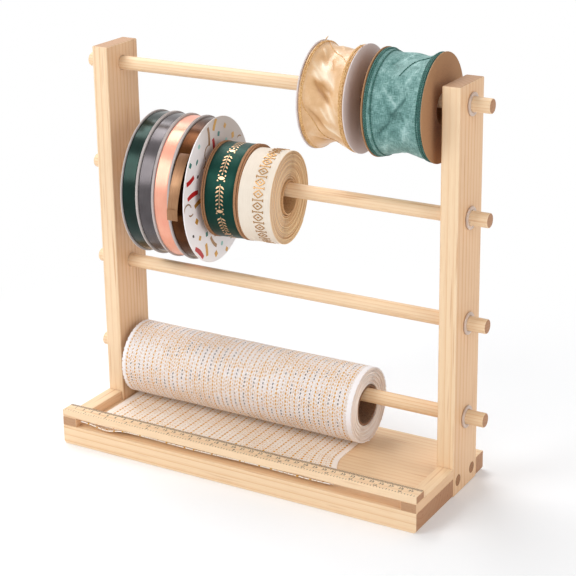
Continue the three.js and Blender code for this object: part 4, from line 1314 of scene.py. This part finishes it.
def laidSheet(spec):
    # The mesh leaves the underside of the roll, lies on the board and rises to the slot; at the hem it dips
    # once near its left end. z = floor + landing + hem rise, both eased by 3t^2 - 2t^3, plus small ripples
    def ease(t):
        t = np.clip(t, 0, 1)
        return t * t * (3 - 2 * t)

    v = np.linspace(0, 1, spec["rows"])[:, None]
    u = np.linspace(0, 1, spec["columns"])[None, :]
    y = spec["hemY"] + (spec["backY"] - spec["hemY"]) * (v - 0.8 * np.sin(fullTurn * v) / fullTurn)
    flare = spec["flareFront"] + (spec["flareBack"] - spec["flareFront"]) * ease((y - spec["hemY"]) / 70)
    flare = flare * ease((u - 0.75) / 0.25)
    x = spec["left"] + spec["width"] * u + flare + 0.25 * np.sin(1.7 * y) * (u > 0.99)
    offset = x - spec["left"]
    ripple = 0.5 + 0.5 * np.cos(offset / spec["rippleLength"] * fullTurn)
    dip = spec["dip"] * np.exp(-(((offset - spec["dipPlace"]) / spec["dipWidth"]) ** 2))
    hemRise = spec["hem"] - spec["floor"] - dip - spec["ripple"] * ripple
    aloft = ease((y - spec["backY"] + spec["landing"]) / spec["landing"])
    z = spec["floor"] + (spec["underRoll"] - spec["floor"]) * aloft
    z = z + hemRise * (1 - ease((y - spec["hemY"]) / spec["lift"]))
    small = 0.12 * np.sin(0.9 * offset + 0.3 * y) + 0.1 * np.sin(0.21 * offset - 0.5 * y)
    z = z + np.abs(small) * ease((40 - y) / 20)
    rows, columns = z.shape
    low = np.stack(np.broadcast_arrays(x, y, z), -1)
    high = low + (0, 0, spec["thick"])
    path = lineLengths(low[:, columns // 2])
    surface = np.stack(np.broadcast_arrays(path[:, None], u * spec["width"]), -1).reshape(-1, 2)
    faces = gridFaces(rows, columns)
    count = rows * columns
    index = np.arange(count).reshape(rows, columns)
    around = np.concatenate([index[0, :], index[1:, -1], index[-1, -2::-1], index[-2:0:-1, 0]])
    nxt = np.roll(around, -1)
    walls = np.stack([around, nxt, nxt + count, around + count], -1)
    faces = np.concatenate([faces[:, ::-1], faces + count, walls])
    points = np.concatenate([low.reshape(-1, 3), high.reshape(-1, 3)])
    surface = np.concatenate([surface, surface])
    return meshPiece("laid_mesh_cloth", points, faces, surface, sharp=60), float(path[-1])


sheet, reach = laidSheet(clothSpec)
settle(sheet, "laid_mesh", "holder", laidCloth)
print("mesh roll and laid mesh are made")

# Printed measure on the bar

rulerSpec = {
    # ticks are the lengths of a whole division, a half and the rest; digitStep is in sizes of a digit
    "start": -200, "inch": 25.4, "backY": -58.9, "frontY": -74.0, "line": 0.46, "rise": 0.04, "sink": 0.03,
    "centimetreY": -66.9, "centimetreSize": 4.3, "centimetreTicks": (4.8, 4.1, 3.3),
    "inchY": -71.6, "inchSize": 3.6, "inchTicks": (3.8, 2.8, 1.9),
    "digitStep": 0.62, "digitDepth": 0.07,
}


def boxesAt(lows, highs):
    # Closed boxes from their lowest and highest corners
    pick = np.array([[0, 0, 0], [1, 0, 0], [1, 1, 0], [0, 1, 0], [0, 0, 1], [1, 0, 1], [1, 1, 1], [0, 1, 1]])
    points = np.where(pick[None] == 1, highs[:, None], lows[:, None])
    block = np.array([[0, 3, 2, 1], [4, 5, 6, 7], [0, 1, 5, 4], [1, 2, 6, 5], [2, 3, 7, 6], [3, 0, 4, 7]])
    faces = block[None] + np.arange(len(lows))[:, None, None] * 8
    return points.reshape(-1, 3), faces.reshape(-1, 4)


def digitMeshes():
    # Each digit's outline once, as points and triangles for a font of size 1
    shapes = {}
    for digit in "0123456789":
        curve = bpy.data.curves.new("digit", "FONT")
        curve.body = digit
        curve.size = 1.0
        curve.offset = 0.02
        curve.resolution_u = 2
        curve.align_x = "CENTER"
        text = bpy.data.objects.new("digit", curve)
        bpy.context.scene.collection.objects.link(text)
        graph = bpy.context.evaluated_depsgraph_get()
        mesh = bpy.data.meshes.new_from_object(text.evaluated_get(graph))
        mesh.calc_loop_triangles()
        points = np.empty(len(mesh.vertices) * 3)
        mesh.vertices.foreach_get("co", points)
        triangles = np.empty(len(mesh.loop_triangles) * 3, np.int32)
        mesh.loop_triangles.foreach_get("vertices", triangles)
        shapes[digit] = (points.reshape(-1, 3), triangles.reshape(-1, 3))
        bpy.data.objects.remove(text)
        bpy.data.meshes.remove(mesh)
    return shapes


def measure(spec):
    # Ticks are thin boxes every millimetre at the back and every eighth of an inch at the front; numbers
    # are rows of digits, drawn down into the bar so that they are closed
    start, inch, top = spec["start"], spec["inch"], boxOf("ruler_bar")[1][2]
    lows, highs = [], []

    def tick(x, y0, y1):
        lows.append((x - spec["line"] / 2, y0, top - spec["sink"]))
        highs.append((x + spec["line"] / 2, y1, top + spec["rise"]))

    def lengthOf(lengths, k, whole):
        return lengths[0 if k % whole == 0 else 1 if k % (whole // 2) == 0 else 2]

    for k in range(1, 400):
        tick(start + k, spec["backY"] - lengthOf(spec["centimetreTicks"], k, 10), spec["backY"])
    for k in range(1, 126):
        tick(start + k * inch / 8, spec["frontY"], spec["frontY"] + lengthOf(spec["inchTicks"], k, 8))
    points, faces = boxesAt(np.array(lows), np.array(highs))
    ticks = meshPiece("ruler_ticks", points, faces)
    shapes = digitMeshes()
    allPoints, allFaces, count = [], [], 0
    rows = [(k, start + 10 * k, spec["centimetreY"], spec["centimetreSize"]) for k in range(1, 40)]
    rows += [(k, start + inch * k, spec["inchY"], spec["inchSize"]) for k in range(1, 16)]
    for number, x, y, size in rows:
        for place, digit in enumerate(str(number)):
            shift = (place - (len(str(number)) - 1) / 2) * spec["digitStep"]
            outline, triangles = shapes[digit]
            allPoints.append(outline * size + (x + shift * size, y, top + spec["rise"]))
            allFaces.append(triangles + count)
            count += len(outline)
    numbers = meshPiece("ruler_numbers", np.concatenate(allPoints), np.concatenate(allFaces))
    body = bmesh.new()
    body.from_mesh(numbers.data)
    walls = bmesh.ops.extrude_face_region(body, geom=body.faces[:])
    moved = [item for item in walls["geom"] if isinstance(item, bmesh.types.BMVert)]
    bmesh.ops.translate(body, verts=moved, vec=(0, 0, -spec["digitDepth"] * mm))
    bmesh.ops.recalc_face_normals(body, faces=body.faces)
    body.to_mesh(numbers.data)
    body.free()
    return ticks, numbers


ink = flecked("printed_ink", "#38302F", "#4C4443", 900, Roughness=0.7)
for piece in measure(rulerSpec):
    settle(piece, None, "holder", ink)
print("measure is printed")
